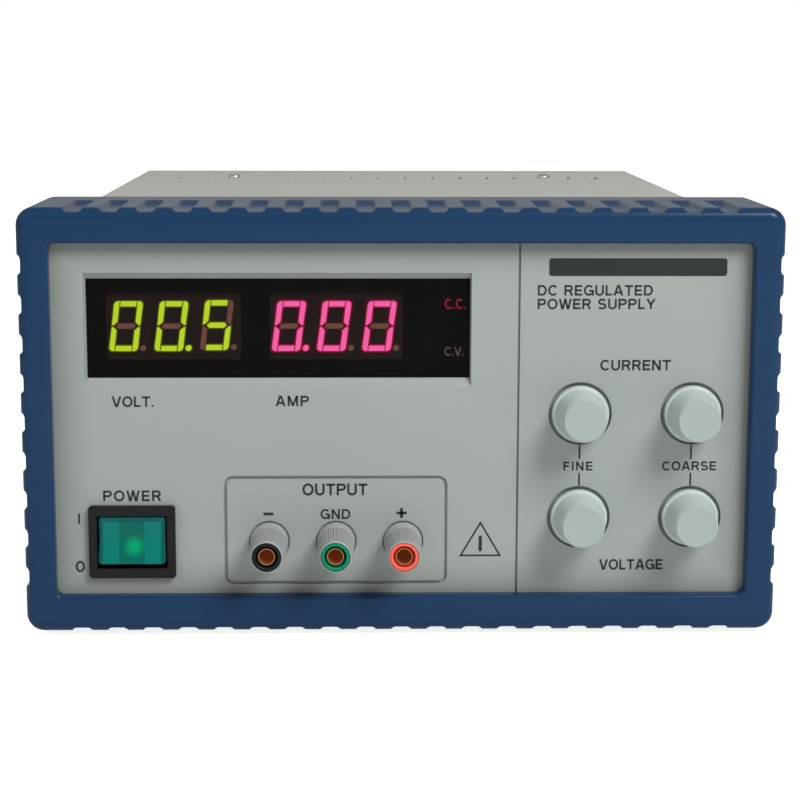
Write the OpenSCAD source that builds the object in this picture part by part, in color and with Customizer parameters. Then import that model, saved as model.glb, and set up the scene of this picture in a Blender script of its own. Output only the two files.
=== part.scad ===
/* [Bumper] */
// Width of the bumper round the front
bumper_w = 214; // [208:1:230]
// Height of the bumper
bumper_h = 121; // [118:1:130]
// Depth of the bumper, front to back
bumper_d = 45; // [38:1:50]
// How far the bumper's lip stands in front of the panel
lip_d = 4; // [3:0.5:6]
// Width of the bumper's front opening
opening_w = 196.4; // [190:0.2:198]
// Height of the bumper's front opening
opening_h = 100.6; // [99:0.2:104]
// Depth of the grip notches
notch_d = 1.2; // [0.6:0.1:2]
// How far the notches run back from the front
notch_run = 29; // [20:1:37]

/* [Case] */
// Width of the case behind the bumper
case_w = 204.6; // [200:0.2:206]
// Height of the case behind the bumper
case_h = 107.8; // [107.8:0.2:110]
// Distance from the bumper's front to the back of the case
case_back = 297; // [295:1:320]
// Thickness of the sheet metal
sheet = 1.2; // [1:0.1:1.6]
// Gap between the bumper and the table
foot_gap = 1.5; // [1:0.5:8]

/* [Front panel] */
// Thickness of the front panel
panel_t = 3; // [3:0.5:4]
// Depth of the sloped recess round the display window
recess_d = 2; // [1:0.5:2.5]
// Place of the groove beside the control field
groove_x = 33; // [31:0.5:36]

/* [Controls] */
// How far a binding post stands out of the panel
post_reach = 19.4; // [17:0.2:24]
// Spacing of the binding posts, the standard for double plugs
post_pitch = 19.05; // [19.05:0.01:19.05]
// Wall radius of the 4 mm sockets
socket_r = 2.05; // [2.02:0.01:2.1]
// Travel of a post's cap when it is unscrewed
post_travel = 5; // [3:0.5:6]
// How far a knob stands out of the panel
knob_reach = 13.3; // [12:0.1:18]
// Radius of a knob at its skirt
knob_r = 8.05; // [7:0.05:8.5]
// Tilt of the rocker to each side of its middle, in degrees
rocker_tilt = 8; // [6:1:8]

/* [Rear] */
// Size of the square fan
fan_size = 80; // [80:1:80]
// How far the fan guard stands out of the case
guard_d = 5; // [5:0.5:6]
// Number of fan blades
blades = 7; // [5:1:9]

/* [Hidden] */
$fn = 48;

// The modules work from the centre of the bumper's front face: X right, Y back, Z up.
// The part's own origin is on the table, under the middle of the whole object.
overall_d = case_back + guard_d + post_reach - lip_d;
front_y = post_reach - lip_d - overall_d / 2;
mid_z = bumper_h / 2 + foot_gap;

panel_front = lip_d;
panel_back = lip_d + panel_t;
fit_gap = 0.2;
panel_w = case_w - 2 * fit_gap;
panel_h = case_h - 2 * fit_gap;
opening_z = 0.3;
notch_mouth = 5.8;
notch_floor = 4.1;
notches_across = 19;
notch_pitch_across = 10.13;
notches_up = 9;
notch_pitch_up = 11.13;

// Display: low and high corners, [x, z]
recess_low = [-89.2, 9.9];
recess_high = [19.6, 42.1];
window_low = [-88.6, 12.1];
window_high = [19.3, 40.3];
window_t = 1.2;
window_flange = 2.5;
led_y = panel_back + 2;
led_d = 8;
volt_low = [-83.4, 16.9];
amp_low = [-37.2, 16.9];
led_size = [37.6, 18];
mode_x = 11;
mode_size = [7.9, 5];
mode_z = [30.4, 16.7];
board_t = 1.6;
display_board_y = led_y + led_d;
display_posts = [for (x = [-94.5, 26.5], z = [9, 46]) [x, z]];
boss_r = 3;
screw_r = 1.5;
pilot_r = 1.25;

// Control field: knob centres, [x, z]
knob_left = 50.6;
knob_right = 82.4;
knob_high = 2.1;
knob_low = -27.9;
knobs = [for (x = [knob_left, knob_right], z = [knob_high, knob_low]) [x, z]];
knob_seat_r = 9;
knob_seat_d = 1.6;
knob_hole_r = 3.4;
knob_sink = 1;
shaft_r = 3;
shaft_gap = 0.05;
pot_r = 8.2;
pot_d = 10;
control_board_y = panel_back + 17;
control_posts = [for (x = [40.5, 92.5], z = [14.5, -40.3]) [x, z]];

// Binding posts
post_x = -18.6;
post_z = -34.75;
stud_r = 2.6;
collar_r = 5.4;
collar_t = 2;
post_seat_r = 5.85;
post_seat_d = 0.8;
cap_r = 5.25;
cap_front_r = 4.45;
ring_r = 4.1;
ring_d = 5.8;
turn_gap = 0.06;

// Rounded groove round the posts
output_low = [-50.5, -47.4];
output_high = [13.1, -15.8];
output_groove = 0.9;
groove_d = 0.9;

// Rocker switch
switch_at = [-76.6, -34.7];
bezel = [24.6, 21];
bezel_t = 1.8;
switch_body = [22, 19.2];
switch_d = 17;
rocker_hole = [19.9, 15.2];
rocker_w = 19;
pivot_y = panel_front + 2.6;
pivot_r = 1.2;

// Case
cover_r = 2.5;
cover_front = panel_back + 1;
rear_t = 1.5;
rear_y = case_back - rear_t;
floor_z = -case_h / 2 + sheet;
roof_z = case_h / 2 - sheet;
tray_w = case_w - 3.2;
flange_h = 14;
foot_r = 8;
feet_x = 82;
feet_y = [62, case_back - 25];
brace_y = case_back - 50;
brace_x = 61.5;
lug = [9, 10.5, 9];
side_screw_y = [95, case_back - 60];
side_screw_z = floor_z + 8;
inlet_screw_x = 20;

// Fan
fan_at = [42, 2];
fan_d = 25;
fan_y = rear_y - fan_d;
fan_pitch = 71.5;
duct_r = 38;
fan_hub_r = 17;
fan_screw_r = 1.95;

// Mains inlet
inlet_at = [-62, -12];
inlet_flange_t = 2.5;
inlet_face = case_back + inlet_flange_t;
cavity_at = inlet_at + [0, 6];
cavity = [24.6, 16.6];
cavity_d = 15.8;
cavity_cut = 4;
drawer_at = inlet_at - [0, 11];
drawer = [19.8, 8.8];
drawer_d = 23;
drawer_gap = 0.3;
pins = [[-7, -2], [7, -2], [0, 2]];

// Transformer, in the proportions of a standard E-I core
core_unit = 12.7;
core_stack = 42;
core_at = [-54, case_back - 86, floor_z];

// Main board and heat sink
main_board_z = floor_z + 8;
main_low = [-8, 62];
main_high = [92, 178];
main_posts = [for (x = [-3, 87], y = [67, 173]) [x, y]];
sink_x = 2;
sink_y = [case_back - 107, case_back - 35];
sink_top = 45;
fins = 11;

// Wires: their points run from one terminal to the next
wire_r = 1.1;
wires = [
    [[-69, 261, -8], [-69, 257, 26], [-70, 42, 26], [-70, 31, -24]],
    [[-55, 261, -8], [-55, 257, 30], [-83, 46, 30], [-83, 31, -24]],
    [[-62, 261, -2], [-62, 254, 36], [-30, 254, 40], [-12, 196, 40], [0, 196, 47]],
    [[-54, 180, 0], [-54, 172, 18], [0, 150, 0], [0, 150, -40]],
    [[-37.6, 16, -30], [-37.6, 40, -20], [4, 66, -20], [4, 72, -42]],
    [[0.5, 16, -30], [0.5, 40, -14], [12, 66, -14], [12, 72, -42]]
];

module at_front() {
    translate([0, front_y, mid_z]) children();
}

// Extrudes an outline drawn in X and Z from y0 back to y1
module slab(y0, y1) {
    translate([0, y1, 0]) rotate([90, 0, 0]) linear_extrude(y1 - y0) children();
}

// Extrudes an outline drawn in Y and Z from x0 to x1
module across(x0, x1) {
    translate([x0, 0, 0]) rotate([90, 0, 90]) linear_extrude(x1 - x0) children();
}

module block(low, high) {
    translate(low) cube(high - low);
}

module rod(at, y0, y1, r) {
    slab(y0, y1) translate(at) circle(r);
}

// Turns an outline of radius and height about a line that points to the front
module turned(at, y) {
    translate([at[0], y, at[1]]) rotate([90, 0, 0]) rotate_extrude() children();
}

module round_rect(size, r) {
    square([size[0] - 2 * r, size[1]], center = true);
    square([size[0], size[1] - 2 * r], center = true);
    for (x = [-1, 1], y = [-1, 1])
        translate([x * (size[0] / 2 - r), y * (size[1] / 2 - r)]) circle(r);
}

module corners(low, high) {
    translate(low) square(high - low);
}

// A pan-head screw that points along Y, with its head's seat at y and its tip at depth
module pan_screw(at, y, depth, r = screw_r) {
    way = depth > 0 ? 1 : -1;
    rod(at, min(y, y + depth), max(y, y + depth), r);
    rod(at, min(y, y - way * 1.3 * r), max(y, y - way * 1.3 * r), 1.9 * r);
}

module notches(count, pitch) {
    for (i = [0 : count - 1])
        translate([(i - (count - 1) / 2) * pitch, 0])
            polygon([
                [-notch_mouth / 2, 1], [-notch_mouth / 2, 0], [-notch_floor / 2, -notch_d],
                [notch_floor / 2, -notch_d], [notch_mouth / 2, 0], [notch_mouth / 2, 1]
            ]);
}

module notched_outline() {
    difference() {
        round_rect([bumper_w, bumper_h], 5);
        for (side = [0, 1]) {
            mirror([0, side]) translate([0, bumper_h / 2]) notches(notches_across, notch_pitch_across);
            mirror([side, 0]) translate([bumper_w / 2, 0]) rotate(-90) notches(notches_up, notch_pitch_up);
        }
    }
}

module front_bumper() {
    color("#1f3f68") at_front() difference() {
        union() {
            slab(0, notch_run) notched_outline();
            slab(notch_run, bumper_d) round_rect([bumper_w, bumper_h], 5);
        }
        slab(-1, lip_d) translate([0, opening_z]) round_rect([opening_w, opening_h], 2);
        slab(lip_d, bumper_d + 1) square([case_w + fit_gap, case_h + fit_gap], center = true);
    }
}

module display_recess() {
    y0 = panel_front - 1;
    y1 = panel_front + recess_d;
    intersection() {
        across(recess_low[0], recess_high[0]) polygon([
            [y0, recess_low[1]], [panel_front, recess_low[1]], [y1, window_low[1]],
            [y1, window_high[1]], [panel_front, recess_high[1]], [y0, recess_high[1]]
        ]);
        translate([0, 0, recess_low[1]]) linear_extrude(recess_high[1] - recess_low[1]) polygon([
            [recess_low[0], y0], [recess_low[0], panel_front], [window_low[0], y1],
            [window_high[0], y1], [recess_high[0], panel_front], [recess_high[0], y0]
        ]);
    }
    slab(panel_front + recess_d, panel_back + 1) corners(window_low, window_high);
}

module front_panel() {
    color("#a0a6a2") at_front() difference() {
        union() {
            slab(panel_front, panel_back) round_rect([panel_w, panel_h], 2);
            for (p = display_posts) rod(p, panel_back, display_board_y, boss_r);
            for (p = control_posts) rod(p, panel_back, control_board_y, boss_r);
        }
        display_recess();
        slab(panel_front - 1, panel_front + groove_d) {
            translate([groove_x, 0]) square([0.6, panel_h], center = true);
            translate((output_low + output_high) / 2) difference() {
                round_rect(output_high - output_low, 2.7);
                round_rect(output_high - output_low - 2 * [output_groove, output_groove], 2.7 - output_groove);
            }
        }
        slab(panel_front - 1, panel_front + post_seat_d) for (i = [-1 : 1])
            translate(post_at(i)) circle(post_seat_r);
        slab(panel_front - 1, panel_back + 1) {
            translate(switch_at) square(switch_body + [fit_gap, fit_gap], center = true);
            for (i = [-1 : 1]) translate([post_x + i * post_pitch, post_z]) circle(4);
            for (k = knobs) translate(k) circle(knob_hole_r);
        }
        slab(panel_front - 1, panel_front + knob_seat_d) for (k = knobs) translate(k) circle(knob_seat_r);
        for (p = display_posts) rod(p, panel_back, display_board_y + 1, pilot_r);
        for (p = control_posts) rod(p, panel_back, control_board_y + 1, pilot_r);
    }
}

module display_window() {
    grow = [window_flange, window_flange];
    color("#100c0e") at_front() {
        slab(panel_front + recess_d + 0.1, panel_back)
            corners(window_low + [0.1, 0.1], window_high - [0.1, 0.1]);
        slab(panel_back, panel_back + window_t) corners(window_low - grow, window_high + grow);
    }
}

module led_block(low, size) {
    slab(led_y, led_y + led_d) corners(low, low + size);
}

module volt_display() {
    color("#2a1a1a") at_front() led_block(volt_low, led_size);
}

module amp_display() {
    color("#2a1a1a") at_front() led_block(amp_low, led_size);
}

module mode_indicators() {
    color("#701010") at_front() for (z = mode_z) led_block([mode_x, z], mode_size);
}

module board(y, low, high, holes) {
    difference() {
        slab(y, y + board_t) corners(low, high);
        for (p = holes) rod(p, y - 1, y + board_t + 1, screw_r + 0.1);
    }
}

module display_board() {
    color("#1d5c3a") at_front() board(display_board_y, [-97.5, 6], [29.5, 49], display_posts);
}

module control_board() {
    color("#1d5c3a") at_front() board(control_board_y, [37.5, -43.3], [95.5, 17.5], control_posts);
}

module board_screws() {
    length = -9;
    color("silver") at_front() {
        for (p = display_posts) pan_screw(p, display_board_y + board_t, length, pilot_r);
        for (p = control_posts) pan_screw(p, control_board_y + board_t, length, pilot_r);
        for (p = main_posts) translate([p[0], p[1], main_board_z + board_t]) rotate([90, 0, 0])
            pan_screw([0, 0], 0, -7, pilot_r);
    }
}

module switch_frame() {
    color("#262424") at_front() difference() {
        union() {
            slab(panel_front - bezel_t, panel_front) translate(switch_at) round_rect(bezel, 1);
            slab(panel_front, panel_front + switch_d) translate(switch_at) square(switch_body, center = true);
        }
        slab(panel_front - bezel_t - 1, panel_front + switch_d - 4)
            translate(switch_at) square(rocker_hole, center = true);
        across(switch_at[0] - bezel[0], switch_at[0] + bezel[0])
            translate([pivot_y, switch_at[1]]) circle(pivot_r + shaft_gap);
    }
}

// The rocker lies at rest with its upper half pressed in, which is on
module switch_rocker() {
    half = rocker_w / 2;
    color("#00826f") at_front() translate([switch_at[0], pivot_y, switch_at[1]]) rotate([-rocker_tilt, 0, 0]) {
        difference() {
            across(-half, half)
                polygon([[-5, -6.8], [-4.2, 0], [-5, 6.8], [3, 5.2], [3, -5.2]]);
            across(-half + 1.4, half - 1.4)
                polygon([[-3.4, -5.2], [-2.8, 0], [-3.4, 5.2], [4, 4], [4, -4]]);
        }
        for (side = [0, 1]) mirror([side, 0, 0]) across(half, half + 1.4) circle(pivot_r);
    }
}

module switch_lamp() {
    y = panel_front + 9.8;
    color("#c8f0d0") at_front() {
        across(switch_at[0] - 4.5, switch_at[0] + 4.5) translate([y, switch_at[1]]) circle(1.7);
        for (x = [-3.5, 3.5]) rod(switch_at + [x, 0], y, panel_front + switch_d - 4, 0.4);
    }
}

module switch_terminals() {
    y = panel_front + switch_d;
    color("#b58a3c") at_front() for (x = [-6.5, 6.5], z = [-5, 5])
        slab(y, y + 9) translate(switch_at + [x, z]) square([6.3, 0.8], center = true);
}

function post_at(i) = [post_x + i * post_pitch, post_z];

module post_stud(i) {
    front = panel_front - post_reach + 0.4;
    color("#8c5523") at_front() difference() {
        rod(post_at(i), front, panel_back + 11, stud_r);
        rod(post_at(i), front - 1, panel_front - 1.4, socket_r);
    }
}

module post_collar(i) {
    bore = stud_r + 0.05;
    seat = panel_t - post_seat_d;
    top = panel_t + collar_t;
    color("#9aa39e") at_front() turned(post_at(i), panel_back) polygon([
        [bore, 0], [3.9, 0], [3.9, seat], [collar_r, seat], [collar_r, top - 0.4],
        [collar_r - 0.4, top], [bore, top]
    ]);
}

cap_back = panel_front - collar_t - 0.2;
cap_h = post_reach - collar_t - 0.2;

module post_cap(i) {
    bore = stud_r + turn_gap;
    seat = ring_r + turn_gap;
    color("#a3aca8") at_front() turned(post_at(i), cap_back) polygon([
        [bore, 0], [cap_r, 0], [cap_r, 0.52 * cap_h], [cap_front_r + 0.1, cap_h - 1],
        [cap_front_r, cap_h], [seat, cap_h], [seat, cap_h - ring_d - 0.2], [bore, cap_h - ring_d - 0.2]
    ]);
}

module post_ring(i) {
    bore = stud_r + turn_gap;
    front = panel_front - post_reach + 0.1;
    turned(post_at(i), front + ring_d) polygon([
        [bore, 0], [ring_r, 0], [ring_r, ring_d - 0.3], [ring_r - 0.3, ring_d], [bore, ring_d]
    ]);
}

module post_black_ring() {
    color("#202626") at_front() post_ring(-1);
}

module post_green_ring() {
    color("#0f9682") at_front() post_ring(0);
}

module post_red_ring() {
    color("#e16455") at_front() post_ring(1);
}

module post_nuts() {
    color("silver") at_front() for (i = [-1 : 1], y = [panel_back, panel_back + 4.4])
        slab(y, y + 3.5) translate(post_at(i)) difference() {
            circle(4.6, $fn = 6);
            circle(stud_r + 0.02);
        }
}

module post_tags() {
    y = panel_back + 3.6;
    color("#b58a3c") at_front() for (i = [-1 : 1]) slab(y, y + 0.7) translate(post_at(i)) difference() {
        union() {
            circle(4.2);
            translate([-1.5, 0]) square([3, 9]);
        }
        circle(stud_r + 0.02);
    }
}

module knob(at) {
    h = knob_reach + knob_sink;
    color("#acb9b4") at_front() turned(at, panel_front + knob_sink) polygon([
        [shaft_r, 0], [knob_r, 0], [knob_r, 2.9], [knob_r - 0.7, 3.7], [6.2, h - 0.7], [5.9, h],
        [0, h], [0, h - 3.3], [shaft_r, h - 3.3]
    ]);
}

module shaft(at) {
    color("silver") at_front() rod(at, panel_front - knob_reach + 3.3, control_board_y - 1.2, shaft_r);
}

module potentiometers() {
    color("#3b4046") at_front() for (k = knobs) difference() {
        union() {
            rod(k, control_board_y - pot_d, control_board_y, pot_r);
            rod(k, control_board_y - pot_d - 4, control_board_y - pot_d, 4.2);
        }
        rod(k, control_board_y - pot_d - 5, control_board_y - 1, shaft_r + shaft_gap);
    }
}

module chassis_tray() {
    half = tray_w / 2;
    color("#a9aaa2") at_front() difference() {
        union() {
            block([-half, cover_front, floor_z - sheet], [half, rear_y, floor_z]);
            for (side = [0, 1]) mirror([side, 0, 0]) {
                block([half - sheet, cover_front, floor_z], [half, rear_y, floor_z + flange_h]);
                translate([half - sheet - lug[0], rear_y - lug[1], floor_z]) cube(lug);
            }
            block([-half, cover_front, floor_z], [half, cover_front + sheet, floor_z + 8]);
            for (p = main_posts) translate([p[0], p[1], floor_z]) cylinder(r = boss_r, h = main_board_z - floor_z);
        }
        for (p = main_posts) translate([p[0], p[1], floor_z]) cylinder(r = pilot_r, h = main_board_z - floor_z + 1);
        for (x = [-feet_x, feet_x], y = feet_y) translate([x, y, floor_z - 2 * sheet])
            cylinder(r = screw_r + 0.1, h = 3 * sheet);
        for (x = [-1, 1]) rod([x * (half - sheet - lug[0] / 2), floor_z + lug[2] / 2],
            rear_y - lug[1] - 1, rear_y + 1, pilot_r);
        for (y = side_screw_y) across(-case_w, case_w) translate([y, side_screw_z]) circle(pilot_r);
    }
}

module cover_outline(inset) {
    r = cover_r - inset / 2;
    top = case_h / 2 - inset;
    half = case_w / 2 - inset;
    translate([-half, -case_h / 2 - inset]) square([2 * half, top + case_h / 2 + inset - r]);
    translate([-half + r, top - 2 * r]) square([2 * (half - r), 2 * r]);
    for (x = [-1, 1]) translate([x * (half - r), top - r]) circle(r);
}

module top_cover() {
    lug_x = tray_w / 2 - sheet - lug[0];
    color("#b2b4ac") at_front() difference() {
        union() {
            difference() {
                slab(cover_front, case_back) intersection() {
                    cover_outline(0);
                    square([case_w, case_h], center = true);
                }
                slab(cover_front - 1, case_back + 1) cover_outline(sheet);
            }
            for (side = [0, 1]) mirror([side, 0, 0])
                translate([lug_x, rear_y - lug[1], roof_z - lug[2]]) cube([lug[0], lug[1], lug[2] + sheet / 2]);
        }
        for (i = [0 : 15]) if (i != 2 && i != 13) translate([(i - 7.5) * 10.9, brace_y, roof_z])
            cube([2.4, 16, 3 * sheet], center = true);
        for (i = [0 : 13], z = [-14, 16]) translate([0, 120 + 9 * i, z]) cube([2 * case_w, 3, 22], center = true);
        for (x = [-brace_x, brace_x]) translate([x, brace_y, roof_z - 1]) cylinder(r = screw_r + 0.1, h = 4);
        for (x = [-1, 1]) rod([x * (lug_x + lug[0] / 2), roof_z - lug[2] / 2], rear_y - lug[1] - 1, rear_y + 1, pilot_r);
        for (y = side_screw_y) across(-case_w, case_w) translate([y, side_screw_z]) circle(screw_r + 0.1);
    }
}

module case_screws() {
    lug_x = tray_w / 2 - sheet - lug[0] / 2;
    color("silver") at_front() {
        for (x = [-brace_x, brace_x]) translate([x, brace_y, case_h / 2]) rotate([90, 0, 0])
            pan_screw([0, 0], 0, -6, pilot_r);
        for (side = [0, 1], y = side_screw_y) mirror([side, 0, 0])
            translate([case_w / 2, y, side_screw_z]) rotate([0, 0, 90]) pan_screw([0, 0], 0, 5, pilot_r);
        for (x = [-lug_x, lug_x], z = [floor_z + lug[2] / 2, roof_z - lug[2] / 2])
            pan_screw([x, z], case_back, -9, pilot_r);
        for (x = [-inlet_screw_x, inlet_screw_x]) pan_screw(inlet_at + [x, 0], inlet_face, -9, pilot_r);
    }
}

module foot_at(x, y) {
    translate([x, y, -mid_z]) children();
}

foot_h = mid_z + floor_z - sheet;
foot_sink = 4;

module feet() {
    color("#262626") at_front() for (x = [-feet_x, feet_x], y = feet_y) foot_at(x, y) rotate_extrude() polygon([
        [3.6, 0], [foot_r - 1.4, 0], [foot_r - 0.6, 0.6], [foot_r, foot_h], [screw_r + 0.1, foot_h],
        [screw_r + 0.1, foot_sink], [3.6, foot_sink]
    ]);
}

module foot_screws() {
    color("silver") at_front() for (x = [-feet_x, feet_x], y = feet_y) foot_at(x, y) {
        translate([0, 0, foot_sink]) cylinder(r = screw_r, h = foot_h);
        translate([0, 0, foot_sink - 2]) cylinder(r = 1.9 * screw_r, h = 2);
    }
}

module rear_panel() {
    lug_x = tray_w / 2 - sheet - lug[0] / 2;
    color("#a9aaa2") at_front() difference() {
        slab(rear_y, case_back) square([tray_w, 2 * roof_z - fit_gap], center = true);
        slab(rear_y - 1, case_back + 1) {
            translate(fan_at) circle(duct_r);
            for (x = [-1, 1], z = [-1, 1]) translate(fan_at + [x, z] * fan_pitch / 2) circle(fan_screw_r + 0.2);
            translate(inlet_at - [14, 17.5]) square([28, 34]);
            for (x = [-inlet_screw_x, inlet_screw_x]) translate(inlet_at + [x, 0]) circle(pilot_r + 0.1);
            for (x = [-lug_x, lug_x], z = [floor_z + lug[2] / 2, roof_z - lug[2] / 2])
                translate([x, z]) circle(pilot_r + 0.1);
        }
    }
}

module cross_brace() {
    half = tray_w / 2 - sheet;
    color("#a9aaa2") at_front() difference() {
        union() {
            block([-half, brace_y - 8, roof_z - 1.5], [half, brace_y + 8, roof_z]);
            for (side = [0, 1]) mirror([side, 0, 0])
                block([half - 1.5, brace_y - 8, floor_z], [half, brace_y + 8, roof_z]);
        }
        for (x = [-brace_x, brace_x]) translate([x, brace_y, roof_z - 4]) cylinder(r = pilot_r, h = 6);
        for (y = side_screw_y) across(-case_w, case_w) translate([y, side_screw_z]) circle(pilot_r + 0.3);
    }
}

module heat_sink() {
    base = 6;
    fin_h = 40;
    pitch = (sink_top - floor_z - 2) / (fins - 1);
    color("#303234") at_front() {
        block([sink_x, sink_y[0], floor_z], [sink_x + base, sink_y[1], sink_top]);
        for (i = [0 : fins - 1])
            block([sink_x + base, sink_y[0], floor_z + i * pitch],
                [sink_x + base + fin_h, sink_y[1], floor_z + i * pitch + 2]);
    }
}

module power_transistors() {
    color("#1c1c1e") at_front() for (y = [sink_y[0] + 6, sink_y[1] - 22], z = [-24, 14]) {
        block([sink_x - 5, y, z], [sink_x, y + 16, z + 20]);
        for (pin = [-5, 0, 5])
            block([sink_x - 3, y + 7.5 + pin, z - 12], [sink_x - 2.2, y + 8.5 + pin, z]);
    }
}

module fan_holes(r) {
    for (x = [-1, 1], z = [-1, 1]) rod(fan_at + [x, z] * fan_pitch / 2, fan_y - 5, rear_y + 5, r);
}

module fan_frame() {
    color("#242424") at_front() difference() {
        union() {
            difference() {
                slab(fan_y, rear_y) translate(fan_at) round_rect([fan_size, fan_size], 4);
                rod(fan_at, fan_y - 1, rear_y + 1, duct_r);
            }
            rod(fan_at, fan_y, fan_y + 3.5, fan_hub_r);
            rod(fan_at, fan_y, fan_y + 14, 4);
            slab(fan_y, fan_y + 3) translate(fan_at) for (a = [45 : 90 : 315])
                rotate(a) translate([fan_hub_r - 1, -2]) square([duct_r - fan_hub_r + 2, 4]);
        }
        rod(fan_at, fan_y + 1, fan_y + 15, 1.5 + shaft_gap);
        fan_holes(fan_screw_r + 0.2);
    }
}

module fan_rotor() {
    back = fan_y + 4.5;
    front = fan_y + 21;
    color("#1b1b1d") at_front() {
        difference() {
            rod(fan_at, back, front, fan_hub_r);
            rod(fan_at, back - 1, front - 2, fan_hub_r - 2);
        }
        rod(fan_at, fan_y + 2, front - 1, 1.5);
        intersection() {
            difference() {
                rod(fan_at, back, front, duct_r - 1.4);
                rod(fan_at, back - 1, front + 1, fan_hub_r - 1);
            }
            for (i = [0 : blades - 1]) translate([fan_at[0], (back + front) / 2, fan_at[1]])
                rotate([0, i * 360 / blades, 0]) translate([duct_r / 2 + 8, 0, 0]) rotate([38, 0, 0])
                    cube([duct_r, 1.6, 24], center = true);
        }
    }
}

module fan_guard() {
    wire = 1;
    y = case_back + guard_d - wire;
    color("#c8c8c8") at_front() {
        for (r = [9, 18.5, 28, 37.5]) turned(fan_at, y) translate([r, 0]) circle(wire);
        for (a = [45 : 90 : 315]) translate([fan_at[0], y - 1.6, fan_at[1]]) rotate([0, a, 0])
            translate([8, 0, 0]) rotate([0, 90, 0]) cylinder(r = 0.9, h = 38.6);
        for (x = [-1, 1], z = [-1, 1]) slab(case_back, case_back + 1.6)
            translate(fan_at + [x, z] * fan_pitch / 2) difference() {
                circle(4.8);
                circle(fan_screw_r + 0.2);
            }
    }
}

module fan_screws() {
    seat = case_back + 1.6;
    color("silver") at_front() for (x = [-1, 1], z = [-1, 1]) {
        at = fan_at + [x, z] * fan_pitch / 2;
        rod(at, fan_y - 4, seat, fan_screw_r);
        rod(at, seat, seat + 2.2, 3.6);
        slab(fan_y - 3.2, fan_y) translate(at) circle(3.9, $fn = 6);
    }
}

module cavity_outline() {
    w = cavity[0] / 2;
    h = cavity[1] / 2;
    translate(cavity_at) polygon([
        [-w, -h], [w, -h], [w, h - cavity_cut], [w - cavity_cut, h], [cavity_cut - w, h], [-w, h - cavity_cut]
    ]);
}

module pin_blades(y0, y1) {
    slab(y0, y1) for (p = pins) translate(cavity_at + p) square([2, 4], center = true);
}

module mains_inlet() {
    back = inlet_face - 27;
    color("#1a1a1c") at_front() difference() {
        union() {
            slab(case_back, inlet_face) translate(inlet_at) round_rect([50, 38], 4);
            slab(back, case_back) translate(inlet_at - [13.7, 17.2]) square([27.4, 33.4]);
        }
        slab(inlet_face - cavity_d, inlet_face + 1) cavity_outline();
        pin_blades(back - 1, inlet_face);
        slab(inlet_face - drawer_d - 1, inlet_face + 1) translate(drawer_at)
            square(drawer + 2 * [drawer_gap, drawer_gap], center = true);
        for (x = [-inlet_screw_x, inlet_screw_x]) rod(inlet_at + [x, 0], case_back - 1, inlet_face + 1, pilot_r + 0.1);
    }
}

module inlet_pins() {
    color("silver") at_front() pin_blades(inlet_face - 37, inlet_face - 4.6);
}

module fuse_drawer() {
    lip = inlet_face + 0.3;
    color("#222226") at_front() difference() {
        union() {
            slab(inlet_face - drawer_d, lip) translate(drawer_at) square(drawer, center = true);
            slab(lip, lip + 1.4) translate(drawer_at) round_rect(drawer + [2.4, 2], 1);
        }
        translate([drawer_at[0], lip - 11.8, drawer_at[1] + 1.2]) cube([drawer[0] - 3, 21, drawer[1]], center = true);
    }
}

module fuse() {
    at = drawer_at - [0, 0.5];
    y = inlet_face - 21.6;
    color("#d8d8d0") at_front() {
        rod(at, y, y + 5, 2.6);
        rod(at, y + 5, y + 15, 2.4);
        rod(at, y + 15, y + 20, 2.6);
    }
}

module at_core() {
    translate(core_at) children();
}

module transformer_core() {
    u = core_unit;
    color("#6d6a66") at_front() at_core() difference() {
        translate([-3 * u, -core_stack / 2, 0]) cube([6 * u, core_stack, 5 * u]);
        for (x = [-2 * u, u]) translate([x, -core_stack, u]) cube([u, 2 * core_stack, 3 * u]);
        for (x = [-2.5 * u, 2.5 * u]) rod([x, 4.5 * u], -core_stack, core_stack, 2.1);
    }
}

module transformer_coil() {
    u = core_unit;
    gap = 0.3;
    color("#c79a3a") at_front() at_core() difference() {
        translate([0, 0, 2.5 * u]) cube([4 * u - 2 * gap, core_stack + 22, 3 * u - 2 * gap], center = true);
        translate([0, 0, 2.5 * u]) cube([2 * u + 2 * gap, core_stack + 2 * gap, 4 * u], center = true);
    }
}

module transformer_bracket() {
    u = core_unit;
    color("silver") at_front() at_core() for (side = [0, 1]) mirror([side, 0, 0]) {
        for (end = [0, 1]) mirror([0, end, 0]) difference() {
            union() {
                translate([2 * u + 0.5, core_stack / 2, 0]) cube([u - 0.5, 1.5, 5 * u]);
                translate([2 * u + 0.5, core_stack / 2, 0]) cube([u - 0.5, 14, 1.5]);
            }
            rod([2.5 * u, 4.5 * u], 0, core_stack, 2.1);
        }
        rod([2.5 * u, 4.5 * u], -core_stack / 2 - 4, core_stack / 2 + 4, 2);
        for (end = [0, 1]) mirror([0, end, 0])
            slab(core_stack / 2 + 1.5, core_stack / 2 + 4.5) translate([2.5 * u, 4.5 * u]) circle(3.9, $fn = 6);
    }
}

module main_board() {
    color("#1d5c3a") at_front() translate([0, 0, main_board_z]) linear_extrude(board_t) difference() {
        corners(main_low, main_high);
        for (p = main_posts) translate(p) circle(screw_r + 0.1);
    }
}

module capacitors() {
    z = main_board_z + board_t;
    color("#2c3f66") at_front() {
        for (x = [28, 66]) translate([x, 96, z]) cylinder(r = 15, h = 46);
        for (x = [24, 44, 64, 80]) translate([x, 128, z]) cylinder(r = 5, h = 14);
    }
}

module rectifier() {
    z = main_board_z + board_t;
    color("#1c1c1e") at_front() difference() {
        block([26, 142, z], [54, 170, z + 10]);
        translate([40, 156, z - 1]) cylinder(r = 2.2, h = 12);
    }
}

module wire(points) {
    for (i = [0 : len(points) - 2]) hull() {
        translate(points[i]) sphere(wire_r, $fn = 10);
        translate(points[i + 1]) sphere(wire_r, $fn = 10);
    }
}

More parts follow.
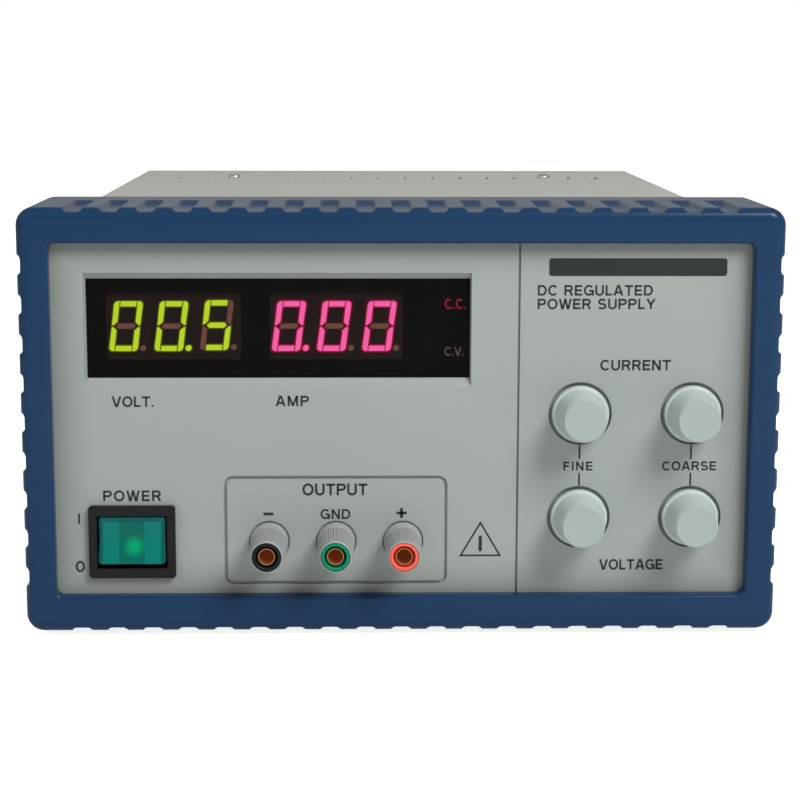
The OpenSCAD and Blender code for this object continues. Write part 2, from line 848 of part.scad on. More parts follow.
module wiring() {
    color("#a02020") at_front() for (w = wires) wire(w);
}

front_bumper();
front_panel();
display_window();
volt_display();
amp_display();
mode_indicators();
display_board();
control_board();
board_screws();
switch_frame();
switch_rocker();
switch_lamp();
switch_terminals();
post_stud(-1);  // post_black_stud
post_stud(0);  // post_green_stud
post_stud(1);  // post_red_stud
post_collar(-1);  // post_black_collar
post_collar(0);  // post_green_collar
post_collar(1);  // post_red_collar
post_cap(-1);  // post_black_cap
post_cap(0);  // post_green_cap
post_cap(1);  // post_red_cap
post_black_ring();
post_green_ring();
post_red_ring();
post_nuts();
post_tags();
knob([knob_left, knob_high]);  // knob_current_fine
knob([knob_right, knob_high]);  // knob_current_coarse
knob([knob_left, knob_low]);  // knob_voltage_fine
knob([knob_right, knob_low]);  // knob_voltage_coarse
shaft([knob_left, knob_high]);  // shaft_current_fine
shaft([knob_right, knob_high]);  // shaft_current_coarse
shaft([knob_left, knob_low]);  // shaft_voltage_fine
shaft([knob_right, knob_low]);  // shaft_voltage_coarse
potentiometers();
chassis_tray();
top_cover();
case_screws();
feet();
foot_screws();
rear_panel();
cross_brace();
heat_sink();
power_transistors();
fan_frame();
fan_rotor();
fan_guard();
fan_screws();
mains_inlet();
inlet_pins();
fuse_drawer();
fuse();
transformer_core();
transformer_coil();
transformer_bracket();
main_board();
capacitors();
rectifier();
wiring();
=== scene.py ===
"""Finishes and finely shaped pieces for the bench power supply.

Each sub-assembly is a class with a build method. Its fields are sizes in millimetres, measured from the
centre of the bumper's front face: X to the right, Y to the back, Z up. FrontAxes turns them into the
frame's metres.
"""

from __future__ import annotations

import logging
import math
from dataclasses import dataclass, field
from enum import Enum
from typing import Iterable, Sequence

import bmesh
import bpy
from mathutils import Matrix, Vector


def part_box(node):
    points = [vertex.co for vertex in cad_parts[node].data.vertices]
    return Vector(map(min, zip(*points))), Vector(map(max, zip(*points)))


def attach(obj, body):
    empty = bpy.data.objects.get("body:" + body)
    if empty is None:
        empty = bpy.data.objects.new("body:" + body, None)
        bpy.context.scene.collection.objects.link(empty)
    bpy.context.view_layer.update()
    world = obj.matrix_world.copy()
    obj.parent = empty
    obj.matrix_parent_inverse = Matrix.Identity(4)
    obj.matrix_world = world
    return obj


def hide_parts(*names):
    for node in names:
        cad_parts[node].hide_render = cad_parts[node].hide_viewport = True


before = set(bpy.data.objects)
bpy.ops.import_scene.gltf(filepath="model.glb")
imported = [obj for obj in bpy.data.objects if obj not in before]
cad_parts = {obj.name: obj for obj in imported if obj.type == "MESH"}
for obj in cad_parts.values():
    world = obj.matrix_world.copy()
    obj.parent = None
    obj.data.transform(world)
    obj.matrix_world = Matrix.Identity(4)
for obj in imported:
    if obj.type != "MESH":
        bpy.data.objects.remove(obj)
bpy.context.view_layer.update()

LOG = logging.getLogger("bench_supply")
MM = 0.001
FRONT = Vector((0, -1, 0))
BACK = Vector((0, 1, 0))
UP = Vector((0, 0, 1))
DOWN = Vector((0, 0, -1))
SHARP_ANGLE = math.radians(32)
BEVEL_ANGLE = math.radians(38)
FLAT_ANGLE = math.radians(0.4)
BEVEL_STEPS = 2
CORNER_STEPS = 5
ROUND_STEPS = 96
SAME_PLACE = 2e-7
SLIVER = 1e-8
WELD_DISTANCE = 4e-6

DISPLAY_FACE = 9.0
KNOB_COLUMNS = (50.6, 82.4)
KNOB_ROWS = (2.1, -27.9)
FAN_CENTRE = (42.0, 2.0)
FOOT_PLACES = tuple((x, y) for x in (-82.0, 82.0) for y in (62.0, 272.0))

Point2 = tuple[float, float]
Point3 = tuple[float, float, float]
Rgb = tuple[float, float, float]
Socket = bpy.types.NodeSocket


def srgb(red: int, green: int, blue: int) -> Rgb:
    """Turns an 8-bit display colour into linear light.

    Args:
        red: Red, 0 to 255.
        green: Green, 0 to 255.
        blue: Blue, 0 to 255.

    Returns:
        The linear colour.
    """
    def channel(value: int) -> float:
        """One channel in linear light."""
        part = value / 255
        return part / 12.92 if part <= 0.04045 else ((part + 0.055) / 1.055) ** 2.4

    return channel(red), channel(green), channel(blue)


def bow(centre: Point2, radii: Point2, start: float, end: float, steps: int = 14) -> list[Point2]:
    """Points along part of an ellipse.

    Args:
        centre: The ellipse's centre.
        radii: Half width and half height.
        start: Angle of the first point, in degrees.
        end: Angle of the last point, in degrees.
        steps: Number of stretches between the points.

    Returns:
        The points, both ends included.
    """
    turns = [math.radians(start + (end - start) * i / steps) for i in range(steps + 1)]
    return [(centre[0] + radii[0] * math.cos(t), centre[1] + radii[1] * math.sin(t)) for t in turns]


def arc(centre: Point2, radius: float, start: float, end: float, steps: int) -> list[Point2]:
    """Points along part of a circle, as bow gives them."""
    return bow(centre, (radius, radius), start, end, steps)


def quarter(steps: int) -> list[Point2]:
    """Parts of a quarter round that are still to come at each step, by cosine and by sine."""
    turns = [math.radians(90 * k / steps) for k in range(steps + 1)]
    return [(1 - math.cos(t), 1 - math.sin(t)) for t in turns]


def rounded_rectangle(centre: Point2, size: Point2, radius: float) -> list[Point2]:
    """Outline of a rectangle with round corners, anticlockwise.

    Args:
        centre: Middle of the rectangle.
        size: Width and height.
        radius: Corner radius.

    Returns:
        The outline's points.
    """
    points: list[Point2] = []
    for turn, (sx, sz) in enumerate(((1, 1), (-1, 1), (-1, -1), (1, -1))):
        at = (centre[0] + sx * (size[0] / 2 - radius), centre[1] + sz * (size[1] / 2 - radius))
        points += arc(at, radius, 90 * turn, 90 * turn + 90, CORNER_STEPS)
    return points


@dataclass(frozen=True)
class FrontAxes:
    """Millimetres from the centre of the bumper's front face, turned into the frame's metres."""

    origin: Vector

    @classmethod
    def from_frame(cls) -> FrontAxes:
        """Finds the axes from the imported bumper's box."""
        low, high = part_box("front_bumper")
        return cls(Vector(((low.x + high.x) / 2, low.y, (low.z + high.z) / 2)))

    def point(self, x: float, y: float, z: float) -> Vector:
        """A place in the frame's metres."""
        return self.origin + Vector((x, y, z)) * MM


# --------------------------------------------------------------------------- shaping


@dataclass
class Shell:
    """Vertices and faces of one piece as it is built, in millimetres on the front axes.

    Marks give each face's material number. They are left empty where every face takes the first.
    """

    verts: list[Vector] = field(default_factory=list)
    faces: list[tuple[int, ...]] = field(default_factory=list)
    marks: list[int] = field(default_factory=list)

    def add(self, verts: Iterable[Sequence[float]], faces: Iterable[Sequence[int]]) -> None:
        """Adds vertices, and faces that count from the first of them."""
        start = len(self.verts)
        self.verts += [Vector(v) for v in verts]
        self.faces += [tuple(start + i for i in face) for face in faces]

    def loops(self, rings: Sequence[Sequence[Sequence[float]]], closed: bool = False) -> None:
        """Joins rings of equal count with quads.

        Args:
            rings: The rings, in order.
            closed: True to join the last ring to the first.
        """
        count = len(rings[0])
        faces = []
        for k in range(len(rings) if closed else len(rings) - 1):
            here, there = k * count, (k + 1) % len(rings) * count
            for i in range(count):
                j = (i + 1) % count
                faces.append((here + i, here + j, there + j, there + i))
        self.add([v for ring in rings for v in ring], faces)

    def caps(self, rings: Sequence[Sequence[Sequence[float]]]) -> None:
        """Closes both ends of a row of rings with one face each."""
        for ring in (rings[0], rings[-1]):
            self.add(ring, [range(len(ring))])

    def prism(self, outline: Sequence[Point2], y0: float, y1: float) -> None:
        """An outline drawn in X and Z, extruded from y0 back to y1."""
        n = len(outline)
        verts = [(x, y, z) for y in (y0, y1) for x, z in outline]
        faces: list[Sequence[int]] = [range(n), range(2 * n - 1, n - 1, -1)]
        faces += [(i, n + i, n + (i + 1) % n, (i + 1) % n) for i in range(n)]
        self.add(verts, faces)

    def lathe(self, profile: Sequence[Point2], centre: Sequence[float], way: Vector, segments: int,
              closed: bool = False, ridges: int = 0, ridge_depth: float = 0.0,
              ridged: Sequence[int] = ()) -> None:
        """Turns a profile of radius and height about an axis.

        Args:
            profile: Points of radius and height. A radius of 0 is a pole.
            centre: Where height 0 lies.
            way: Direction in which height grows.
            segments: Points round the axis.
            closed: True where the profile is a closed loop, such as a ring's section.
            ridges: Number of ridges round the axis.
            ridge_depth: Depth of the ridges.
            ridged: Numbers of the profile points that carry the ridges.
        """
        side = way.orthogonal().normalized()
        other = way.cross(side)
        start = Vector(centre)
        rings = []
        for index, (radius, height) in enumerate(profile):
            cut = ridge_depth if index in ridged else 0.0
            ring = []
            for i in range(segments):
                turn = 2 * math.pi * i / segments
                wave = abs(math.sin(ridges * turn / 2)) if ridges else 0.0
                r = radius - cut * (1 - wave)
                ring.append(start + way * height + (side * math.cos(turn) + other * math.sin(turn)) * r)
            rings.append(ring)
        self.loops(rings, closed)

    def box(self, low: Sequence[float], high: Sequence[float]) -> None:
        """A block between two corners."""
        outline = [(low[0], low[2]), (high[0], low[2]), (high[0], high[2]), (low[0], high[2])]
        self.prism(outline, low[1], high[1])

    def to_mesh(self, name: str, axes: FrontAxes) -> bpy.types.Mesh:
        """Makes the Blender mesh, in metres, with merged poles and outward normals.

        Args:
            name: The mesh's name.
            axes: Where the millimetres are measured from.

        Returns:
            The mesh.
        """
        mesh = bpy.data.meshes.new(name)
        mesh.from_pydata([axes.point(*v) for v in self.verts], [], self.faces)
        for polygon in mesh.polygons:
            polygon.use_smooth = True
        for polygon, mark in zip(mesh.polygons, self.marks):
            polygon.material_index = mark
        bm = bmesh.new()
        bm.from_mesh(mesh)
        bmesh.ops.remove_doubles(bm, verts=bm.verts, dist=SAME_PLACE)
        bmesh.ops.dissolve_degenerate(bm, edges=bm.edges, dist=SLIVER)
        bmesh.ops.recalc_face_normals(bm, faces=bm.faces)
        bm.to_mesh(mesh)
        bm.free()
        mesh.set_sharp_from_angle(angle=SHARP_ANGLE)
        return mesh


def soften(obj: bpy.types.Object, width: float) -> None:
    """Rounds an object's sharp edges, and lets its large faces decide the shading so that they stay flat.

    Args:
        obj: The object.
        width: Width of the rounding, in millimetres, or 0 for none.
    """
    if width:
        bevel = obj.modifiers.new("edge_round", "BEVEL")
        bevel.width = width * MM
        bevel.segments = BEVEL_STEPS
        bevel.limit_method = "ANGLE"
        bevel.angle_limit = BEVEL_ANGLE
        bevel.use_clamp_overlap = True
    shade = obj.modifiers.new("shade", "WEIGHTED_NORMAL")
    shade.keep_sharp = True


# --------------------------------------------------------------------------- finishes


def opaque(color: Rgb) -> tuple[float, float, float, float]:
    """A colour with full alpha, as the colour sockets take it."""
    return (*color, 1.0)


@dataclass(frozen=True)
class Graph:
    """A node tree, and short ways to add nodes to it."""

    tree: bpy.types.NodeTree

    def fill(self, node: bpy.types.Node, inputs: dict[int | str, object]) -> bpy.types.Node:
        """Links each of a node's inputs to an output, or gives it a value.

        Args:
            node: The node.
            inputs: The output or the value for each input's name or number.

        Returns:
            The same node.
        """
        for key, value in inputs.items():
            if isinstance(value, Socket):
                self.tree.links.new(value, node.inputs[key])
            else:
                node.inputs[key].default_value = value
        return node

    def add(self, kind: str, inputs: dict[int | str, object] | None = None) -> bpy.types.Node:
        """Adds a shader node and fills its inputs."""
        return self.fill(self.tree.nodes.new("ShaderNode" + kind), inputs or {})

    def number(self, operation: str, *values: object) -> Socket:
        """The result of an operation on numbers."""
        node = self.add("Math")
        node.operation = operation
        return self.fill(node, dict(enumerate(values))).outputs[0]

    def vector(self, operation: str, *values: object) -> bpy.types.Node:
        """A node with an operation on vectors."""
        node = self.add("VectorMath")
        node.operation = operation
        return self.fill(node, dict(enumerate(values)))

    def ramp(self, value: Socket, low: float, high: float, curve: str = "LINEAR") -> Socket:
        """A rise from 0 to 1 as a value passes from low to high.

        Args:
            value: The value.
            low: Where the rise starts.
            high: Where it ends.
            curve: Its shape.

        Returns:
            The rise's output.
        """
        node = self.add("MapRange")
        node.interpolation_type = curve
        return self.fill(node, {"Value": value, "From Min": low, "From Max": high}).outputs["Result"]

    def mix(self, mask: object, low: object, high: object, blend: str = "MIX") -> Socket:
        """Mixes one colour over another.

        Args:
            mask: How much of the upper colour shows.
            low: The lower colour.
            high: The upper colour.
            blend: How they mix.

        Returns:
            The mixed colour's output.
        """
        node = self.add("Mix")
        node.data_type = "RGBA"
        node.blend_type = blend
        return self.fill(node, {0: mask, 6: low, 7: high}).outputs[2]

    def place(self) -> Socket:
        """Where a point lies on the object."""
        return self.add("TexCoord").outputs["Object"]

    def offsets(self, centre: Vector) -> tuple[Socket, Socket, Socket]:
        """How far a point lies from a centre.

        Args:
            centre: The centre, in metres.

        Returns:
            The way to the point, and how far it is across and up.
        """
        local = self.vector("SUBTRACT", self.place(), centre).outputs[0]
        split = self.add("SeparateXYZ", {0: self.vector("ABSOLUTE", local).outputs[0]})
        return local, split.outputs["X"], split.outputs["Z"]

    def for_camera(self, elsewhere: float, seen: float) -> Socket:
        """One level for the camera's own rays and another for all others."""
        rays = self.add("LightPath").outputs["Is Camera Ray"]
        return self.add("MapRange", {"Value": rays, "To Min": elsewhere, "To Max": seen}).outputs["Result"]


def new_material(name: str,
                 inputs: dict[int | str, object]) -> tuple[bpy.types.Material, Graph, bpy.types.Node]:
    """Makes a material.

    Args:
        name: The material's name.
        inputs: Values of its shader's inputs.

    Returns:
        The material, its graph and its shader.
    """
    material = bpy.data.materials.new(name)
    material.use_nodes = True
    graph = Graph(material.node_tree)
    return material, graph, graph.fill(material.node_tree.nodes["Principled BSDF"], inputs)


class Effect(Enum):
    """The node groups that more than one finish uses."""

    GRAIN = "surface_grain"
    RUBBING_AND_HIGHLIGHT = "edge_rubbing_and_highlight"
    HANDLING = "handling_marks"


# Gain and lift of the default lighter edge colour, for rubbed edges and painted edge highlight alike.
RUB_HIGHLIGHT_GAIN = 1.35
RUB_HIGHLIGHT_LIFT = 0.02
NUMBER = "NodeSocketFloat"
COLOR = "NodeSocketColor"
VECTOR = "NodeSocketVector"


class EffectGroups:
    """Builds each shared node group once and places it in materials."""

    def __init__(self) -> None:
        """Builds the groups."""
        self.groups: dict[Effect, bpy.types.NodeTree] = {}
        self.grain()
        self.rubbing_and_highlight()
        self.handling()

    def start(self, effect: Effect, inputs: dict[str, tuple[str, object]],
              outputs: dict[str, str]) -> tuple[Graph, bpy.types.NodeOutputs, bpy.types.Node]:
        """Starts a group with named sockets.

        Args:
            effect: Which group it is.
            inputs: Socket type and default value of each input.
            outputs: Socket type of each output.

        Returns:
            The group's graph, what its inputs give, and its output node.
        """
        tree = bpy.data.node_groups.new(effect.value, "ShaderNodeTree")
        for name, (kind, value) in inputs.items():
            tree.interface.new_socket(name, in_out="INPUT", socket_type=kind).default_value = value
        for name, kind in outputs.items():
            tree.interface.new_socket(name, in_out="OUTPUT", socket_type=kind)
        self.groups[effect] = tree
        return Graph(tree), tree.nodes.new("NodeGroupInput").outputs, tree.nodes.new("NodeGroupOutput")

    def grain(self) -> None:
        """Fine moulded or sprayed grain: a height, and a shade for the colour."""
        graph, given, out = self.start(
            Effect.GRAIN,
            {"Scale": (NUMBER, 2500.0), "Stretch": (VECTOR, (1.0, 1.0, 1.0)), "Contrast": (NUMBER, 0.1)},
            {"Height": NUMBER, "Shade": NUMBER},
        )
        place = graph.place()
        stretched = graph.vector("MULTIPLY", place, given["Stretch"]).outputs[0]
        fine = graph.add("TexNoise", {"Vector": stretched, "Scale": given["Scale"], "Detail": 3.0,
                                      "Roughness": 0.6}).outputs["Fac"]
        broad = graph.add("TexNoise", {"Vector": place, "Scale": 55.0, "Detail": 4.0}).outputs["Fac"]
        centred = graph.number("SUBTRACT", graph.number("MULTIPLY_ADD", fine, 0.5, broad), 0.75)
        shade = graph.number("MULTIPLY_ADD", centred, given["Contrast"], 1.0)
        graph.fill(out, {"Height": fine, "Shade": shade})

    def rubbing_and_highlight(self) -> None:
        """Shades a colour and lightens convex edges in patches, as rubbing and as painted edge highlight."""
        white = opaque((1.0, 1.0, 1.0))
        graph, given, out = self.start(
            Effect.RUBBING_AND_HIGHLIGHT,
            {"Color": (COLOR, white), "Rubbed And Highlight Color": (COLOR, white), "Amount": (NUMBER, 0.3),
             "Shade": (NUMBER, 1.0)},
            {"Color": COLOR},
        )
        edge = graph.ramp(graph.add("NewGeometry").outputs["Pointiness"], 0.53, 0.66)
        patches = graph.add("TexNoise", {"Vector": graph.place(), "Scale": 140.0,
                                         "Detail": 5.0}).outputs["Fac"]
        amount = graph.number("MULTIPLY", graph.number("MULTIPLY", edge, patches), given["Amount"])
        tone = graph.mix(1.0, given["Color"], given["Shade"], "MULTIPLY")
        graph.fill(out, {"Color": graph.mix(amount, tone, given["Rubbed And Highlight Color"])})

    def handling(self) -> None:
        """Varies the roughness in soft patches, as handling and dust do."""
        graph, given, out = self.start(
            Effect.HANDLING,
            {"Roughness": (NUMBER, 0.5), "Spread": (NUMBER, 0.1), "Scale": (NUMBER, 30.0)},
            {"Roughness": NUMBER},
        )
        patches = graph.add("TexNoise", {"Vector": graph.place(), "Scale": given["Scale"], "Detail": 6.0,
                                         "Distortion": 0.4}).outputs["Fac"]
        centred = graph.number("SUBTRACT", patches, 0.5)
        varied = graph.number("MULTIPLY_ADD", centred, given["Spread"], given["Roughness"])
        graph.fill(out, {"Roughness": varied})

    def place(self, graph: Graph, effect: Effect, inputs: dict[int | str, object]) -> bpy.types.NodeOutputs:
        """Places a group in a material.

        Args:
            graph: The material's graph.
            effect: Which group.
            inputs: The group's inputs.

        Returns:
            What the group gives.
        """
        node = graph.add("Group")
        node.node_tree = self.groups[effect]
        return graph.fill(node, inputs).outputs


@dataclass(frozen=True)
class PaintedRimShade:
    """A faint painted shade on an upright face, darker toward its rim."""

    node: str
    half: Point2
    reach: float = 12.0
    depth: float = 0.24

    def build(self, graph: Graph, shade: Socket) -> Socket:
        """Darkens a shade toward the rim.

        Args:
            graph: The material's graph.
            shade: The shade to darken.

        Returns:
            The darkened shade.
        """
        low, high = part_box(self.node)
        _, across, up = graph.offsets((low + high) / 2)
        near = [graph.ramp(socket, (half - self.reach) * MM, half * MM, "SMOOTHSTEP")
                for socket, half in ((across, self.half[0]), (up, self.half[1]))]
        keep = graph.number("MULTIPLY_ADD", graph.number("MAXIMUM", *near), -self.depth, 1.0)
        return graph.number("MULTIPLY", keep, shade)


@dataclass(frozen=True)
class Finish:
    """A solid surface: plastic, paint, rubber or metal."""

    name: str
    color: Rgb
    roughness: float = 0.5
    spread: float = 0.12
    metallic: float = 0.0
    specular: float = 0.5
    coat: float = 0.0
    sheen: float = 0.0
    grain_scale: float = 2200.0
    grain_depth: float = 0.02
    grain_strength: float = 0.25
    contrast: float = 0.08
    stretch: Point3 = (1.0, 1.0, 1.0)
    # The lighter edge colour and how much of it shows: rubbed edges on most finishes,
    # painted edge highlight on the bumper and the knobs.
    rubbed_and_highlight_color: Rgb | None = None
    rubbing_and_highlight: float = 0.35
    glow: Rgb | None = None
    # Painted shade that darkens the face toward its rim, where given.
    rim_shade: PaintedRimShade | None = None

    def build(self, effects: EffectGroups) -> bpy.types.Material:
        """Makes the material.

        Args:
            effects: The shared node groups.

        Returns:
            The material.
        """
        material, graph, shader = new_material(self.name, {
            "Metallic": self.metallic, "Specular IOR Level": self.specular, "Coat Weight": self.coat,
            "Sheen Weight": self.sheen,
        })
        grain = effects.place(graph, Effect.GRAIN, {"Scale": self.grain_scale, "Stretch": self.stretch,
                                                    "Contrast": self.contrast})
        # Painted shade: darkens the grain's shade toward the face's rim, where given.
        shade = self.rim_shade.build(graph, grain["Shade"]) if self.rim_shade else grain["Shade"]
        rubbed_and_highlight_color = self.rubbed_and_highlight_color or tuple(min(1.0, c * RUB_HIGHLIGHT_GAIN + RUB_HIGHLIGHT_LIFT) for c in self.color)
        rubbing_and_highlight = effects.place(graph, Effect.RUBBING_AND_HIGHLIGHT, {"Color": opaque(self.color), "Rubbed And Highlight Color": opaque(rubbed_and_highlight_color),
                                                  "Amount": self.rubbing_and_highlight, "Shade": shade})
        marks = effects.place(graph, Effect.HANDLING, {"Roughness": self.roughness, "Spread": self.spread})
        bump = graph.add("Bump", {"Strength": self.grain_strength, "Distance": self.grain_depth * MM,
                                  "Height": grain["Height"]})
        graph.fill(shader, {"Base Color": rubbing_and_highlight["Color"], "Roughness": marks["Roughness"],
                            "Normal": bump.outputs["Normal"]})
        if self.glow:
            graph.fill(shader, {"Emission Color": opaque(self.glow), "Emission Strength": 1.0})
        return material


@dataclass(frozen=True)
class SheerFinish:
    """A clear or smoked sheet or bulb that is seen through."""

    name: str
    color: Rgb
    alpha: float
    roughness: float = 0.06
    specular: float = 0.5

    def build(self, effects: EffectGroups) -> bpy.types.Material:
        """Makes the material.

        Args:
            effects: The shared node groups.

        Returns:
            The material.
        """
        material, graph, shader = new_material(self.name, {
            "Base Color": opaque(self.color), "Alpha": self.alpha, "Specular IOR Level": self.specular,
        })
        marks = effects.place(graph, Effect.HANDLING, {"Roughness": self.roughness, "Spread": 0.05,
                                                       "Scale": 60.0})
        graph.fill(shader, {"Roughness": marks["Roughness"]})
        return material


@dataclass(frozen=True)
class LampFinish:
    """The rocker's green plastic: a dark border, a painted edge highlight, two lighter side bands and the
    glow of the lamp behind it.

    The places of its edges are pairs: how far from the centre the edge starts, and how wide it is.
    """

    name: str
    centre: Vector
    side: Rgb = (0.002, 0.165, 0.135)
    middle: Rgb = (0.001, 0.118, 0.086)
    border: Rgb = (0.001, 0.07, 0.07)
    # A painted highlight: the lighter line round the rocker's outer edge.
    rim: Rgb = (0.004, 0.10, 0.10)
    lit: Rgb = (0.0, 0.22, 0.06)
    roughness: float = 0.24
    specular: float = 0.12
    band_across: Point2 = (3.1, 1.0)
    border_across: Point2 = (7.7, 1.3)
    border_up: Point2 = (5.5, 1.2)
    highlight_across: Point2 = (9.0, 0.25)
    highlight_up: Point2 = (6.45, 0.25)
    spot: Point3 = (0.6, -5.0, -1.0)
    spot_core: float = 0.2
    spot_size: float = 4.2

    def build(self, effects: EffectGroups) -> bpy.types.Material:
        """Makes the material.

        Args:
            effects: The shared node groups.

        Returns:
            The material.
        """
        material, graph, shader = new_material(self.name, {"Specular IOR Level": self.specular,
                                                           "Emission Strength": 1.0})
        marks = effects.place(graph, Effect.HANDLING, {"Roughness": self.roughness, "Spread": 0.06,
                                                       "Scale": 120.0})
        local, across, up = graph.offsets(self.centre)
        border = graph.number("MAXIMUM", self.edge(graph, across, self.border_across),
                              self.edge(graph, up, self.border_up))
        # Painted highlight: a lighter line round the rocker's outer edge.
        rim = graph.number("MAXIMUM", self.edge(graph, across, self.highlight_across),
                           self.edge(graph, up, self.highlight_up))
        tone = graph.mix(self.edge(graph, across, self.band_across), opaque(self.middle), opaque(self.side))
        tone = graph.mix(border, tone, opaque(self.border))
        tone = graph.mix(rim, tone, opaque(self.rim))
        reach = graph.vector("DISTANCE", local, Vector(self.spot) * MM).outputs["Value"]
        glow = graph.ramp(reach, self.spot_size * MM, self.spot_core * MM, "SMOOTHERSTEP")
        light = graph.mix(glow, opaque((0.0, 0.0, 0.0)), opaque(self.lit))
        graph.fill(shader, {"Base Color": tone, "Emission Color": light, "Roughness": marks["Roughness"]})
        return material

    @staticmethod
    def edge(graph: Graph, value: Socket, place: Point2) -> Socket:
        """A soft step from 0 to 1 as a length passes an edge."""
        return graph.ramp(value, place[0] * MM, (place[0] + place[1]) * MM, "SMOOTHSTEP")


# --------------------------------------------------------------------------- workshop


@dataclass
class Workshop:
    """Places pieces in the frame with their finish, body and material slot."""

    axes: FrontAxes
    finishes: dict[str, bpy.types.Material]

    def piece(self, name: str, shell: Shell, slots: Sequence[str], body: str = "root",
              stands_for: Sequence[str] = ()) -> None:
        """Makes one piece.

        Args:
            name: The piece's name.
            shell: Its shape.
            slots: Finish names, in the order of the shell's marks. The first is also its material slot.
            body: The body it rides on.
            stands_for: The CAD nodes it replaces.
        """
        obj = bpy.data.objects.new(name, shell.to_mesh(name, self.axes))
        bpy.context.scene.collection.objects.link(obj)
        for slot in slots:
            obj.data.materials.append(self.finishes[slot])
        soften(obj, 0.0)
        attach(obj, body)
        if stands_for:
            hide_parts(*stands_for)
        LOG.info("%s: %d vertices on %s", name, len(obj.data.vertices), body)

    def dress(self, node: str, slot: str, round_edges: float = 0.0) -> None:
        """Gives a CAD node its finish and rounds its edges.

        Args:
            node: The node's name.
            slot: Its finish.
            round_edges: Width of the rounding, in millimetres, or 0 for none.
        """
        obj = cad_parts[node]
        for place in obj.material_slots:
            place.material = self.finishes[slot]
        if round_edges:
            joined = obj.modifiers.new("weld", "WELD")
            joined.merge_threshold = WELD_DISTANCE
            flats = obj.modifiers.new("flats", "DECIMATE")
            flats.decimate_type = "DISSOLVE"
            flats.angle_limit = FLAT_ANGLE
            soften(obj, round_edges)
        LOG.info("%s: finished as %s", node, slot)


# --------------------------------------------------------------------------- bumper


